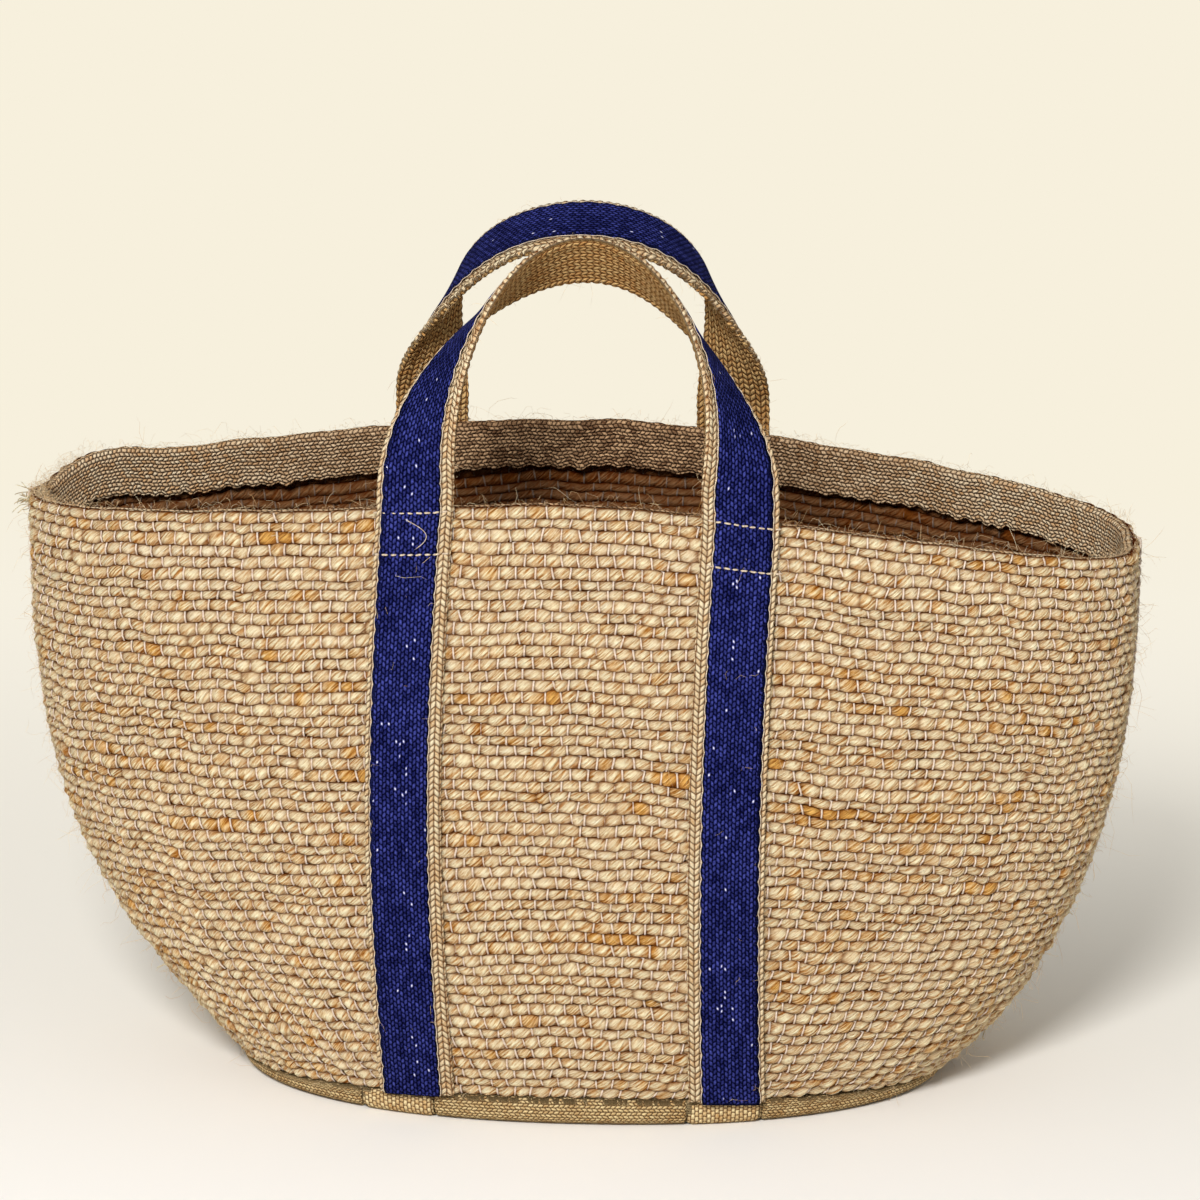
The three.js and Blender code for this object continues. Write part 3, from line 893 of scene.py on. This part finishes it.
def sew_base(floor_steps=8):
    """The whole tray. Its edge stands out a little, but not behind the slings."""
    side, angle = ring_places(ring_steps)
    x = wall_point(side, angle, 0.0)[:, 0]
    beside = np.min([np.abs(x - middle) for middle in sling_middles.values()], axis=0) - webbing_width / 2
    outside = tray_section(side, angle, (tray_inset - tray_swell) * smooth((beside - 0.2) / 0.8))
    inner = tray_inset + tray_thickness
    rise = [tray_floor + share * (outside[:, 0, 2] - tray_floor) for share in (0.0, 0.5, 1.0)]
    inside = np.stack([beside_base(side, angle, np.full_like(angle, inner), height) for height in rise], 1)
    shares = np.linspace(0, 1, floor_steps + 1)[1:, None]
    low, high = (np.array([base_shift, 0, height]) for height in (tray_bottom, tray_floor))
    under = between(outside[:, -1:], low, shares ** (1.0, 1.0, section_gather))
    above = between(inside[:, :1], high, shares)[:, ::-1]
    loop = np.concatenate([outside, under, above, inside, outside[:, :1]], 1)
    mesh, _, station, turn = flat_grids("base", [(loop.shape[0] - 1, loop.shape[1] - 1)])
    across = measure(loop[len(loop) // 4])
    cloth = np.stack([across[turn], measure(outside[:, 0])[station], 0.0 * turn], -1)
    return lay(mesh, loop[station, turn], outwards=True, cloth=cloth)


piece(sew_base(), base_cloth, "basket", "jute_tape", "base_tray")

# %% [markdown]
# Two slings of webbing run under the tray from side to side, one below each pair of straps, and carry
# the weight. Each follows the front section of the tray, crosses below it, and climbs the rear one.

# %% Lay the slings under it
def lay_sling(name, middle, under_steps=70):
    """One band from the front edge of the tray, under its floor, to its rear edge."""
    columns = np.linspace(-0.5, 0.5, 15) * webbing_width
    angle = angle_at(middle + columns, 0.0)
    front, rear = (tray_section(side, angle, 0.0).swapaxes(0, 1) for side in (-1, 1))
    lower = between(front[-1], rear[-1], np.linspace(0, 1, under_steps)[1:-1, None, None])
    bed = np.concatenate([front, lower, rear[::-1]])
    tangent = unit(np.gradient(bed, axis=0))
    out = unit(np.cross(np.gradient(bed, axis=1), tangent))
    from_inside = bed - np.array([middle, 0, 60])
    out = out * np.sign((out * from_inside).sum(-1, keepdims=True))
    half = sling_thickness / 2
    return fold(name, bed, out, columns, cloth_gap + half, half - 0.1)


for name, middle in sling_middles.items():
    sling = lay_sling(f"sling_{name}", middle)
    piece(sling, sling_cloth, "basket", "natural_webbing", f"base_sling_{name}")

# %% [markdown]
# Each long side has one unbroken length of webbing: up the wall, over as a handle, and down again, with
# the blue tape sewn on its outside. The solids split it at the rim so that the handle can turn.

# %% Describe the straps
webbing_thickness, stripe_thickness = 3, 1.5
strap_outside = 2 * cloth_gap + webbing_thickness + stripe_thickness
tape_shifts = {"front": -1.8, "rear": 1.8}
flat_foot_share, tilt_onset = 0.06, 2.5
# For each leg: its place along the rim, its place at the base, and how far it bows between them
strap_runs = {
    "front": {"side": -1, "left": (-79, -80, -6), "right": (86, 81, -3)},
    "rear": {"side": 1, "left": (-87, -82, -2), "right": (76, 78, 2)},
}
# Rise, lean, apex and draw_in in millimetres, the shoulder a power, the tilt at the top in degrees
handle_shapes = {
    "front": {"rise": 118, "lean": 49, "apex": 2, "draw_in": 5, "shoulder": 1.0, "tilt": 46},
    "rear": {"rise": 117, "lean": 47, "apex": 5, "draw_in": -12, "shoulder": 0.95, "tilt": 24},
}
# For the left leg and the right one: how soon the face turns, and how far it turns past square
handle_twists = {"front": ((2.3, 0), (3.6, 5)), "rear": ((3.8, 10), (3.4, 5))}


def foot_point(name, end):
    """Where a leg of the loop leaves the wall: clear of it over the whole width of the webbing."""
    side, at_mouth = strap_runs[name]["side"], strap_runs[name][end][0]
    edges = wall_point(side, angle_at(at_mouth + np.array([-0.5, 0, 0.5]) * webbing_width, 1.0), 1.0)
    return np.array([at_mouth, side * (np.abs(edges[:, 1]).max() + strap_outside), edges[:, 2].max()])


feet = {name: (foot_point(name, "left"), foot_point(name, "right")) for name in strap_runs}


def loop_middle(name, phi):
    """The middle line of a handle, phi being 0 at its left foot and pi at its right one."""
    shape, side = handle_shapes[name], strap_runs[name]["side"]
    left, right = feet[name]
    climb = np.sin(phi)
    point = between(left, right, ((1 - np.cos(phi)) / 2)[:, None])
    point[:, 0] += shape["apex"] * climb**2 + shape["draw_in"] * climb**2 * np.cos(phi)
    point[:, 1] -= side * (strap_outside + shape["lean"] * climb**2)
    point[:, 2] += cloth_gap + shape["rise"] * climb ** shape["shoulder"]
    return point


def loop_frame(name, phi):
    """Directions across the handle and out of its face, which turns while it climbs."""
    shape, side = handle_shapes[name], strap_runs[name]["side"]
    before = loop_middle(name, np.maximum(phi - slope, 0))
    after = loop_middle(name, np.minimum(phi + slope, np.pi))
    tangent = unit(after - before)
    foot_share = np.minimum(1, np.abs(1 - 2 * phi / np.pi) / (1 - flat_foot_share))
    (left_sooner, left_past), (right_sooner, right_past) = handle_twists[name]
    sooner = np.where(phi < np.pi / 2, left_sooner, right_sooner)
    past = np.radians(np.where(phi < np.pi / 2, left_past, right_past))
    turn = np.pi / 2 * (1 - foot_share**sooner) + past * np.sin(np.pi * foot_share) ** 2
    tilt = np.radians(shape["tilt"]) * (1 - foot_share**2) ** tilt_onset
    along = unit(feet[name][1] - feet[name][0])
    on_top = np.stack([0 * tilt, side * np.cos(tilt), np.sin(tilt)], -1)
    flat_part = along * (np.cos(turn) * np.where(phi < np.pi / 2, 1, -1))[:, None]
    across = flat_part + on_top * np.sin(turn)[:, None]
    across = unit(across - tangent * (across * tangent).sum(-1, keepdims=True))
    return across, np.cross(across, tangent) * -side


print("Feet of the front handle:", feet["front"][0].round(1), feet["front"][1].round(1))

# %% [markdown]
# A strap has three stretches: a leg up the wall, the loop, and a leg down again. Each gives points and
# outward directions in its own way. Strung together, with two stations between them at each foot, they
# make one bed, and everything sewn on the strap is laid on that bed.

# %% Make a bed for each strap
station_length = 1.3
leg_length, join_drop = 318, 5
fine_steps = 2000
join_shares = (1 / 3, 2 / 3)


def leg_bed(name, end, columns, shares):
    """Points and outward directions on the wall under one leg, at the given shares of its height."""
    side = strap_runs[name]["side"]
    at_mouth, at_base, bow = strap_runs[name][end]
    middle = between(at_base, at_mouth, shares) + bow * np.sin(np.pi * shares)
    x = middle[:, None] + columns * (1 if end == "left" else -1)
    point, normal, _ = wall_frame(side, angle_at(x, shares[:, None]), shares[:, None])
    return point, normal


def strap_stations(name):
    """Shares for the two legs and turns for the loop, all about one station length apart."""
    shares = {}
    for end in ("left", "right"):
        top = share_below_rim(angle_at(strap_runs[name][end][0], 1.0), join_drop)
        shares[end] = np.linspace(0, top, int(leg_length / station_length))
    phi = np.linspace(0, np.pi, fine_steps)
    gone = measure(loop_middle(name, phi))
    even = np.linspace(0, gone[-1], int(gone[-1] / station_length))
    return shares["left"], np.interp(even, gone, phi), shares["right"]


def strap_bed(name, columns):
    """Points under the strap and directions out of it, by station and column."""
    left, phi, right = strap_stations(name)
    first = len(left) + len(join_shares)
    second = first + len(phi) + len(join_shares)
    columns = np.broadcast_to(columns, (second + len(right), np.shape(columns)[-1]))
    leg, leg_out = leg_bed(name, "left", columns[: len(left)], left)
    across, outward = loop_frame(name, phi)
    loop = loop_middle(name, phi)[:, None] + across[:, None] * columns[first : first + len(phi), :, None]
    loop_out = np.broadcast_to(outward[:, None], loop.shape)
    fall, fall_out = leg_bed(name, "right", columns[second:][::-1], right)
    parts = [(leg, leg_out), (loop, loop_out), (fall[::-1], fall_out[::-1])]
    points, outs = [parts[0][0]], [parts[0][1]]
    for (before, before_out), (after, after_out) in zip(parts, parts[1:]):
        for share in join_shares:
            points.append(between(before[-1:], after[:1], share))
            outs.append(unit(between(before_out[-1:], after_out[:1], share)))
        points.append(after)
        outs.append(after_out)
    return np.concatenate(points), np.concatenate(outs)


strap_length = {name: measure(strap_bed(name, np.zeros(1))[0][:, 0]) for name in strap_runs}
print("Length of the front strap, mm:", round(strap_length["front"][-1]))

# %% [markdown]
# The webbing's two edges are plump plaits, and the blue tape's edges are scalloped, because the edge
# thread draws them in at each stitch. Both repeat along the strap, so a wave of its length makes them.

# %% Sew on the webbing and the blue tape
bend_below, bend_above = 10 * metres, 8 * metres
scallop_length, scallop_depth = 9, 0.9
plait_length, border_blend = 4.6, 1.2
webbing_half, stripe_half = 1.4, 0.7
height_of_webbing = cloth_gap + webbing_thickness / 2
height_of_tape = 2 * cloth_gap + (webbing_thickness + stripe_half)


def bend_at_rim(made, name):
    """Bakes the piece's place into its mesh; the points by the rim that it works out go unused."""
    left, right = feet[name]
    rim = (left + right) / 2 * metres
    start, end = rim - up * bend_below, rim + up * bend_above
    tuple(start)
    tuple(end)
    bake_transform(made)


def scallop(along):
    """Half the width of the blue tape: its edge is drawn in by each stitch of the edge thread."""
    beat = np.pi * (along + 2 * np.sin(along / 23)) / scallop_length
    return stripe_width / 2 - scallop_depth + scallop_depth * np.abs(np.sin(beat)) ** 0.7


def roped_edge(name, columns):
    """Relief and width of the webbing: its two edges are plump plaits beside the blue tape."""
    along = strap_length[name]
    beat = np.pi * (along + 1.5 * np.sin(along / 31)) / plait_length
    lump = np.abs(np.sin(beat[:, None] + np.where(columns > 0, 0.0, 1.3))) ** 0.8
    beside_tape = np.abs(columns - tape_shifts[name]) - stripe_width / 2
    border = np.clip((beside_tape + border_blend / 2) / border_blend, 0, 1)
    return border * (0.15 + 0.75 * lump), columns * (1 + 0.035 * border * (lump - 0.5))


outer_border = [-19.5, -19.1, -18.4, -17.4, -16.3]
inner_border = [12.8, 14, 15.2, 16.4, 17.5, 18.4, 19.1, 19.5]
columns = np.concatenate([outer_border, np.linspace(-14, 11, 9), inner_border])
strap_columns = {"front": columns, "rear": -columns[::-1]}
parts = ("left", "right", "handle")
for name in strap_runs:
    relief, wide = roped_edge(name, strap_columns[name])
    sheet = *strap_bed(name, wide), wide
    mesh = fold(f"{name}_webbing", *sheet, height_of_webbing, webbing_half, relief, strap_length[name])
    solids = [f"{name}_{part}_webbing" for part in parts]
    bend_at_rim(piece(mesh, natural, None, "natural_webbing", *solids), name)
    wide = np.linspace(-1, 1, 15) * scallop(strap_length[name])[:, None] + tape_shifts[name]
    sheet = *strap_bed(name, wide), wide
    mesh = fold(f"{name}_stripe", *sheet, height_of_tape, stripe_half, along=strap_length[name])
    solids = [f"{name}_{part}_stripe" for part in parts]
    bend_at_rim(piece(mesh, blue, None, "blue_tape", *solids), name)

# %% [markdown]
# Thread holds the bands down: one along each edge of the blue tape, caught in its scallops, and two
# rows of large stitches across each foot of the handles. A thread is a strand like the ties, so it
# takes the same helper.

# %% Sew the edge threads and the stitch rows
def mix_thread():
    recipe = Recipe("sewing_thread", roughness=0.8, sheen=0.2)
    plies = recipe.noise(recipe.note("twist"), (1.2, 2.0, 2.0), detail=2.0)
    colour = recipe.mix(recipe.spread(plies, 0.35, 0.65), shade("a08468"), shade("ecdcc4"))
    return recipe.finish(colour, plies, depth=0.3)


thread = mix_thread()
# How far below the rim each of the two rows of stitches lies
stitch_drops = {
    "front": {"left": (1.2, 22.5), "right": (1.2, 24)},
    "rear": {"left": (1.5, 23), "right": (1.2, 22)},
}
stitch_length, stitch_spacing, stitch_count = 3.9, 4.3, 9
# Sides, width and thickness of each kind of thread
edge_size, stitch_size = (5, 0.6, 0.5), (6, 1.0, 0.9)
end_size, loop_size = (5, 0.55, 0.45), (5, 0.4, 0.35)
# Any direction that no thread follows: a strand's width lies square to it and to the strand
askew = (0.3, 0.2, 1.0)


def edge_threads(name):
    """The paths of the two threads that hold the edges of the blue tape."""
    for edge in (-1, 1):
        columns = edge * (scallop(strap_length[name])[:, None] + 0.2) + tape_shifts[name]
        bed, out = strap_bed(name, columns)
        wave = 0.25 * np.sin(np.pi * strap_length[name] / scallop_length * 2)
        yield bed[:, 0] + out[:, 0] * (height_of_tape + wave)[:, None]


def stitch_row(name, end, drop):
    """Short strands in a row across one foot, each with its middle standing proud of the band."""
    side, at_mouth = strap_runs[name]["side"], strap_runs[name][end][0]
    share = share_below_rim(angle_at(at_mouth, 1.0), drop)
    middle = at_mouth + tape_shifts[name] * (1 if end == "left" else -1)
    bent = np.linspace(-0.5, 0.5, 5)
    for place in (np.arange(stitch_count) - stitch_count // 2) * stitch_spacing:
        x = middle + place + luck.uniform(-0.3, 0.3) + bent * stitch_length * luck.uniform(0.85, 1.1)
        beside_tape = strap_outside - stripe_thickness
        height = np.where(np.abs(x - middle) < stripe_width / 2, strap_outside, beside_tape)
        height = height + 0.55 * (1 - (2 * bent) ** 4) - 0.1
        yield on_wall(side, angle_at(x, share), share + bent * luck.uniform(-0.002, 0.002), height)


for name in strap_runs:
    paths = list(edge_threads(name))
    across = [unit(np.cross(np.gradient(path, axis=0), askew)) for path in paths]
    edging = lace(f"{name}_edge_threads", paths, across, *edge_size)
    bend_at_rim(piece(edging, thread, None, "natural_webbing"), name)
    paths = []
    for end, drops in stitch_drops[name].items():
        for drop in drops:
            paths.extend(stitch_row(name, end, drop))
    across = [np.broadcast_to(up, path.shape) for path in paths]
    stitches = lace(f"{name}_stitches", paths, across, *stitch_size)
    bend_at_rim(piece(stitches, thread, None, "natural_webbing"), name)

# %% [markdown]
# At each end of the basket the two panels meet, and a thick thread whips them together. Every stitch
# starts in the front panel, goes round the end a little higher, and dives into the rear panel. A cord of
# yarn ends lies under the stitches and fills the corner.

# %% Whip the side seams
whip_reach, whip_thickness = 7.0, 1.9
cord_width, cord_thickness = 5.2, 4.6


def seam_cord(angle):
    """The path of the filling yarn up one end, a little unsteady."""
    shares = np.linspace(0.004, 0.992, 260)
    sway = 0.5 * np.sin(40 * shares + angle) + 0.4 * np.sin(97 * shares)
    path = on_wall(-1, angle, shares, sway - yarn_radius + 0.4, level=True)
    return path + np.outer(0.5 * np.sin(61 * shares), (0, 1, 0))


def whip_stitch(end, row, reach):
    """Round the end from the front panel to the rear one, climbing by one row."""
    path = []
    for share in np.linspace(-1, 1, 11):
        side = -1 if share < 0 else 1
        line = rows[side][row]
        gone = np.abs(share) * reach
        place = line.length[0] + gone if end == 0 else line.length[-1] - gone
        angle, t, half = (value[0] for value in line.at(np.array([place])))
        out = 1.0 - 2.4 * np.abs(share) ** 4
        path.append(on_wall(side, angle, min(t + half * (0.6 * share + 0.2), 0.998), out, level=True))
    return np.array(path)


for end, end_name in enumerate(("left", "right")):
    angle = end * np.pi
    cord = seam_cord(angle)
    across = [np.broadcast_to((0, 1.0, 0), cord.shape)]
    filler = lace(f"{end_name}_seam_yarn", [cord], across, 10, cord_width, cord_thickness)
    piece(filler, jute, "basket", "jute_yarn")
    paths = [whip_stitch(end, row, whip_reach * luck.uniform(0.7, 1.25)) for row in range(row_count)]
    across = [np.broadcast_to(up, path.shape) for path in paths]
    whips = lace(f"{end_name}_seam_stitches", paths, across, 6, whip_thickness, whip_thickness * 0.8)
    piece(whips, tie, "basket", "jute_yarn")

# %% [markdown]
# Jute is never clean: loose fibres stand off every row and catch the light along the edges. A hair
# particle system would vanish in the export, so each fibre is a real strand of three sides. They start
# at random on the rows, lean along them, curl, and sag at the tip.

# %% Scatter the loose fibres
def swarm(name, paths, width, sides=3):
    """Many thin strands of equally many points, laid at once."""
    count, steps = paths.shape[:2]
    mesh, grid, column, turn = flat_grids(name, [(steps - 1, sides)] * count)
    tangent = unit(np.gradient(paths, axis=1))
    across = unit(np.cross(tangent, luck.normal(size=(count, 1, 3))))
    upright = np.cross(across, tangent)
    taper = np.array([0] + [1] * (steps - 2) + [0])[column] * width[grid] / 2
    angle = -2 * np.pi * turn / sides
    spread = across[grid, column] * np.cos(angle)[:, None]
    spread = spread + upright[grid, column] * np.sin(angle)[:, None]
    twist = np.stack([grid * 9.0 + column, np.cos(angle), np.sin(angle)], -1)
    return lay(mesh, paths[grid, column] + spread * taper[:, None], twist=twist)


fibre_limit = 18
# About the length of the cloth from base to rim
wall_climb = 320
# No fibre reaches out of this box, so that the basket keeps its size
fibre_box = np.array([[-304, -122, 0.3], [304, 122, 474]])
wall_fibres, end_fibres, rim_fibre_count, strap_fibre_count = 3000, 600, 1600, 800


def grow(start, normal, along, length, stand, points=5):
    """Fibres from their starts: along the cloth, off it by stand, curled at random and sagging."""
    share = np.linspace(0, 1, points)[None, :, None]
    curl = luck.normal(0, 0.35, (len(start), 1, 3)) * share**2
    curl = curl + luck.normal(0, 0.2, (len(start), 1, 3)) * np.sin(5 * share)
    lean = along[:, None] * share + normal[:, None] * stand[:, None, None] * np.sin(share * 2.2)
    sag = -up * 0.35 * share**2
    paths = start[:, None] + (lean + curl + sag) * np.minimum(length, fibre_limit)[:, None, None]
    return np.clip(paths, *fibre_box)


def row_fibres(side, count, ends=0.0):
    """Fibres on the outside of the rows, that share of them gathered near the basket's ends."""
    share = luck.uniform(0, 1, count)
    angle = luck.uniform(0, np.pi, count)
    angle = np.where(luck.uniform(0, 1, count) < ends, np.pi * luck.beta(0.35, 0.35, count), angle)
    share = np.clip(share * (1 - top_drop / wall_climb), 0.003, 0.99)
    point, normal, climb = wall_frame(side, angle, share)
    along = unit(np.cross(normal, unit(climb))) * luck.choice([-1, 1], count)[:, None]
    along = unit(along + 0.5 * luck.normal(size=along.shape))
    length, stand = luck.gamma(3.0, 2.1, count), luck.uniform(0.1, 0.5, count)
    return grow(point - normal * 0.6, normal, along, length, stand)


def mix_fibre():
    recipe = Recipe("loose_fibre", roughness=0.6, sheen=0.2)
    tint = recipe.noise(recipe.note("twist"), (0.05, 0.0, 0.0), detail=1.0)
    colour = recipe.mix(recipe.spread(tint, 0.35, 0.65), shade("c08c48"), shade("f8e4ba"))
    return recipe.finish(colour, tint, depth=0.1)


fibre = mix_fibre()
for side, side_name in side_names.items():
    paths = np.concatenate([row_fibres(side, wall_fibres), row_fibres(side, end_fibres, ends=1.0)])
    fuzz = swarm(f"{side_name}_fibres", paths, luck.uniform(0.08, 0.17, len(paths)))
    piece(fuzz, fibre, "basket", "jute_yarn")


def rim_fibres(count):
    """Fibres that stand on the facing, a fifth of them near the crumpled left end."""
    side = luck.choice([-1, 1], count)
    at_left = luck.uniform(0, 1, count) < 0.2
    angle = np.where(at_left, luck.uniform(0, 0.35, count), luck.uniform(0, np.pi, count))
    paths = np.empty((count, 5, 3))
    for which in (-1, 1):
        mine = side == which
        point, normal, _ = wall_frame(which, angle[mine], 1.0, level=True)
        along = unit(np.cross(normal, up)) * luck.choice([-1, 1], mine.sum())[:, None]
        along = unit(along + 0.45 * luck.normal(size=along.shape) + up * 0.2)
        start = point - normal * luck.uniform(0, 7, mine.sum())[:, None]
        length = luck.gamma(3.0, 1.5, mine.sum())
        paths[mine] = grow(start, up - 0.2 * normal, along, length, luck.uniform(0.1, 0.6, mine.sum()))
    return paths


fuzz = swarm("rim_fibres", rim_fibres(rim_fibre_count), luck.uniform(0.08, 0.16, rim_fibre_count))
piece(fuzz, fibre, "basket", "jute_tape")


def strap_fibres(name, count):
    """Hairs on the webbing, most of them along its two edges and on the back of the loop."""
    column = np.clip(luck.choice([-1, 1], count) * luck.beta(9, 1, count), -1, 1) * webbing_width / 2
    station = luck.integers(4, len(strap_length[name]) - 4, count)
    last = 13
    bed, out = strap_bed(name, np.linspace(-0.5, 0.5, last + 1) * webbing_width)
    which = np.clip(np.rint((column / webbing_width + 0.5) * last).astype(int), 0, last)
    start, normal = bed[station, which], out[station, which]
    ahead = unit(bed[station + 1, which] - start)
    sideways = unit(bed[station, last] - bed[station, 0]) * np.sign(column)[:, None]
    along = ahead * luck.normal(0, 1, (count, 1)) + sideways * luck.uniform(0.1, 0.8, (count, 1))
    length, stand = luck.gamma(3.0, 1.6, count), luck.uniform(-0.1, 0.5, count)
    return grow(start + normal * webbing_thickness / 2, normal, unit(along), length, stand)


for name in strap_runs:
    paths = strap_fibres(name, strap_fibre_count)
    hairs = swarm(f"{name}_strap_fibres", paths, luck.uniform(0.08, 0.15, strap_fibre_count))
    bend_at_rim(piece(hairs, fibre, None, "natural_webbing"), name)

# %% [markdown]
# Here and there a thread end works loose. A tuft of them stands at the left end of the rim, where the
# seam's thread was tied off, and the others are strewn over the wall. On the left foot of the front
# handle one thread has come away as a loop.

# %% Leave a few loose ends
def loose_end(start, along, length, points=12):
    """A thread end that stands off the cloth, curls and hangs."""
    share = np.linspace(0, 1, points)[:, None]
    curl = luck.normal(0, 0.14, 3) * np.sin(5 * share + luck.uniform(0, 6)) * share
    return start + (along * share + curl - up * 0.3 * share**2) * length


def tied_off(count):
    """Ends that stand out of the rim's left end."""
    for _ in range(count):
        side, angle = luck.choice([-1, 1]), luck.uniform(0, 0.12)
        start = wall_point(side, angle, luck.uniform(0.965, 0.998)) + np.array([1.5, 0, 0])
        outwards = unit(np.array([-1, 0.5 * luck.normal(), 0.15 + 0.4 * luck.normal()]))
        yield loose_end(start, outwards, luck.uniform(5, 12))


def worked_loose(count):
    """Ends that lie on the wall."""
    for _ in range(count):
        side, angle = luck.choice([-1, 1]), luck.uniform(0.1, np.pi - 0.1)
        start, normal, climb = wall_frame(side, angle, luck.uniform(0.05, 0.97))
        along = np.cross(normal, unit(climb)) * luck.choice([-1, 1]) + 0.25 * normal
        along = unit(along + 0.4 * luck.normal(size=3))
        yield loose_end(start - normal * 0.8, along, luck.uniform(4, 11))


ends_at_rim, ends_on_wall = 26, 90
ends = list(tied_off(ends_at_rim)) + list(worked_loose(ends_on_wall))
across = [unit(np.cross(np.gradient(path, axis=0), askew)) for path in ends]
piece(lace("loose_ends", ends, across, *end_size), jute, "basket", "jute_yarn")

# It starts 84 mm left of the middle, 4 mm below the rim, swings right, and ends 16 mm further down
loop_share = np.linspace(0, 1, 16)
loop_x = -84 + 9 * np.sin(np.pi * loop_share) + 5 * loop_share
loop_height = share_below_rim(angle_at(loop_x, 1.0), 4 + 16 * loop_share)
loop_outside = strap_outside + 0.4 + 2.2 * np.sin(np.pi * loop_share)
loop = on_wall(-1, angle_at(loop_x, loop_height), loop_height, loop_outside)
loop_across = [unit(np.cross(np.gradient(loop, axis=0), askew))]
piece(lace("loose_loop", [loop], loop_across, *loop_size), thread, "basket", "natural_webbing")

# %% [markdown]
# The studio is a pale floor that sweeps up into a backdrop, one large soft lamp and the light of the
# room. The colour of the sweep makes the background, never more light.

# %% Build the studio
# From where to where, front to back in metres, the paper changes its colour and begins to glow
colour_fade, glow_fade = (-0.6, 1.2), (-0.05, 0.9)


def mix_sweep():
    """Matt paper for the floor, which far behind the basket gives its own colour to the camera alone."""
    recipe = Recipe("sweep", roughness=1.0, gloss=0.0)
    place = recipe.add("ShaderNodeTexCoord", {}, "Object")
    distance = recipe.add("ShaderNodeSeparateXYZ", {"Vector": place}, "Y")
    colour = recipe.mix(recipe.spread(distance, *colour_fade), shade("f3f1ef"), shade("f7f0dd"))
    recipe.tree.links.new(colour, recipe.shader.inputs["Base Color"])
    ray = recipe.add("ShaderNodeLightPath", {}).node.outputs
    seen = ray["Is Camera Ray"]
    for kind in ("Is Glossy Ray", "Is Transmission Ray"):
        seen = recipe.math("MAXIMUM", seen, ray[kind])
    fade = {0: distance, 1: glow_fade[0], 2: glow_fade[1]}
    away = recipe.add("ShaderNodeMapRange", fade, interpolation_type="SMOOTHSTEP")
    far = recipe.math("MULTIPLY", seen, away)
    glow = recipe.add("ShaderNodeEmission", {"Color": colour, "Strength": 1.0})
    both = recipe.add("ShaderNodeMixShader", {0: far, 1: recipe.shader.outputs["BSDF"], 2: glow})
    recipe.tree.links.new(both, recipe.tree.nodes["Material Output"].inputs["Surface"])
    return recipe.material


def build_sweep(front=-3.5, bend=2.0, radius=1.6, height=5.0, half_width=5.0, steps=40):
    """A floor that turns up into a wall, in metres."""
    mesh, _, column, turn = flat_grids("sweep", [(steps, 1)])
    share = column / steps
    flat = bend - front
    arc = radius * np.pi / 2
    gone = share * (flat + arc + height)
    around = np.clip((gone - flat) / radius, 0, np.pi / 2)
    y = front + np.minimum(gone, flat) + radius * np.sin(around)
    z = radius * (1 - np.cos(around)) + np.maximum(gone - flat - arc, 0)
    x = between(half_width, -half_width, turn)
    return lay(mesh, np.stack([x, y, z], -1) * 1000)


sweep_mesh = build_sweep()
sweep = bpy.data.objects.new("sweep", sweep_mesh)
sweep_mesh.materials.append(mix_sweep())
bpy.context.scene.collection.objects.link(sweep)

# %% [markdown]
# The photo's shadows are soft, so one large disc lamp stands high in front, a little to the left. The
# world around adds the even light of a pale room.

# %% Light it
def soft_lamp(name, place, target, size, power):
    """A disc that shines from its place towards the target."""
    lamp = bpy.data.lights.new(name, "AREA")
    lamp.shape, lamp.size, lamp.energy = "DISK", size, power
    made = bpy.data.objects.new(name, lamp)
    made.location = place
    made.rotation_euler = (Vector(target) - Vector(place)).to_track_quat("-Z", "Y").to_euler()
    bpy.context.scene.collection.objects.link(made)


soft_lamp("overhead", place=(-0.35, -2.4, 1.9), target=(0, 0, 0.15), size=0.8, power=88)
world = bpy.data.worlds.new("room")
world.use_nodes = True
room_light = world.node_tree.nodes["Background"].inputs
room_light["Color"].default_value = (1, 1, 1, 1)
room_light["Strength"].default_value = 0.4
bpy.context.scene.world = world
bpy.context.scene.view_settings.view_transform = "Standard"
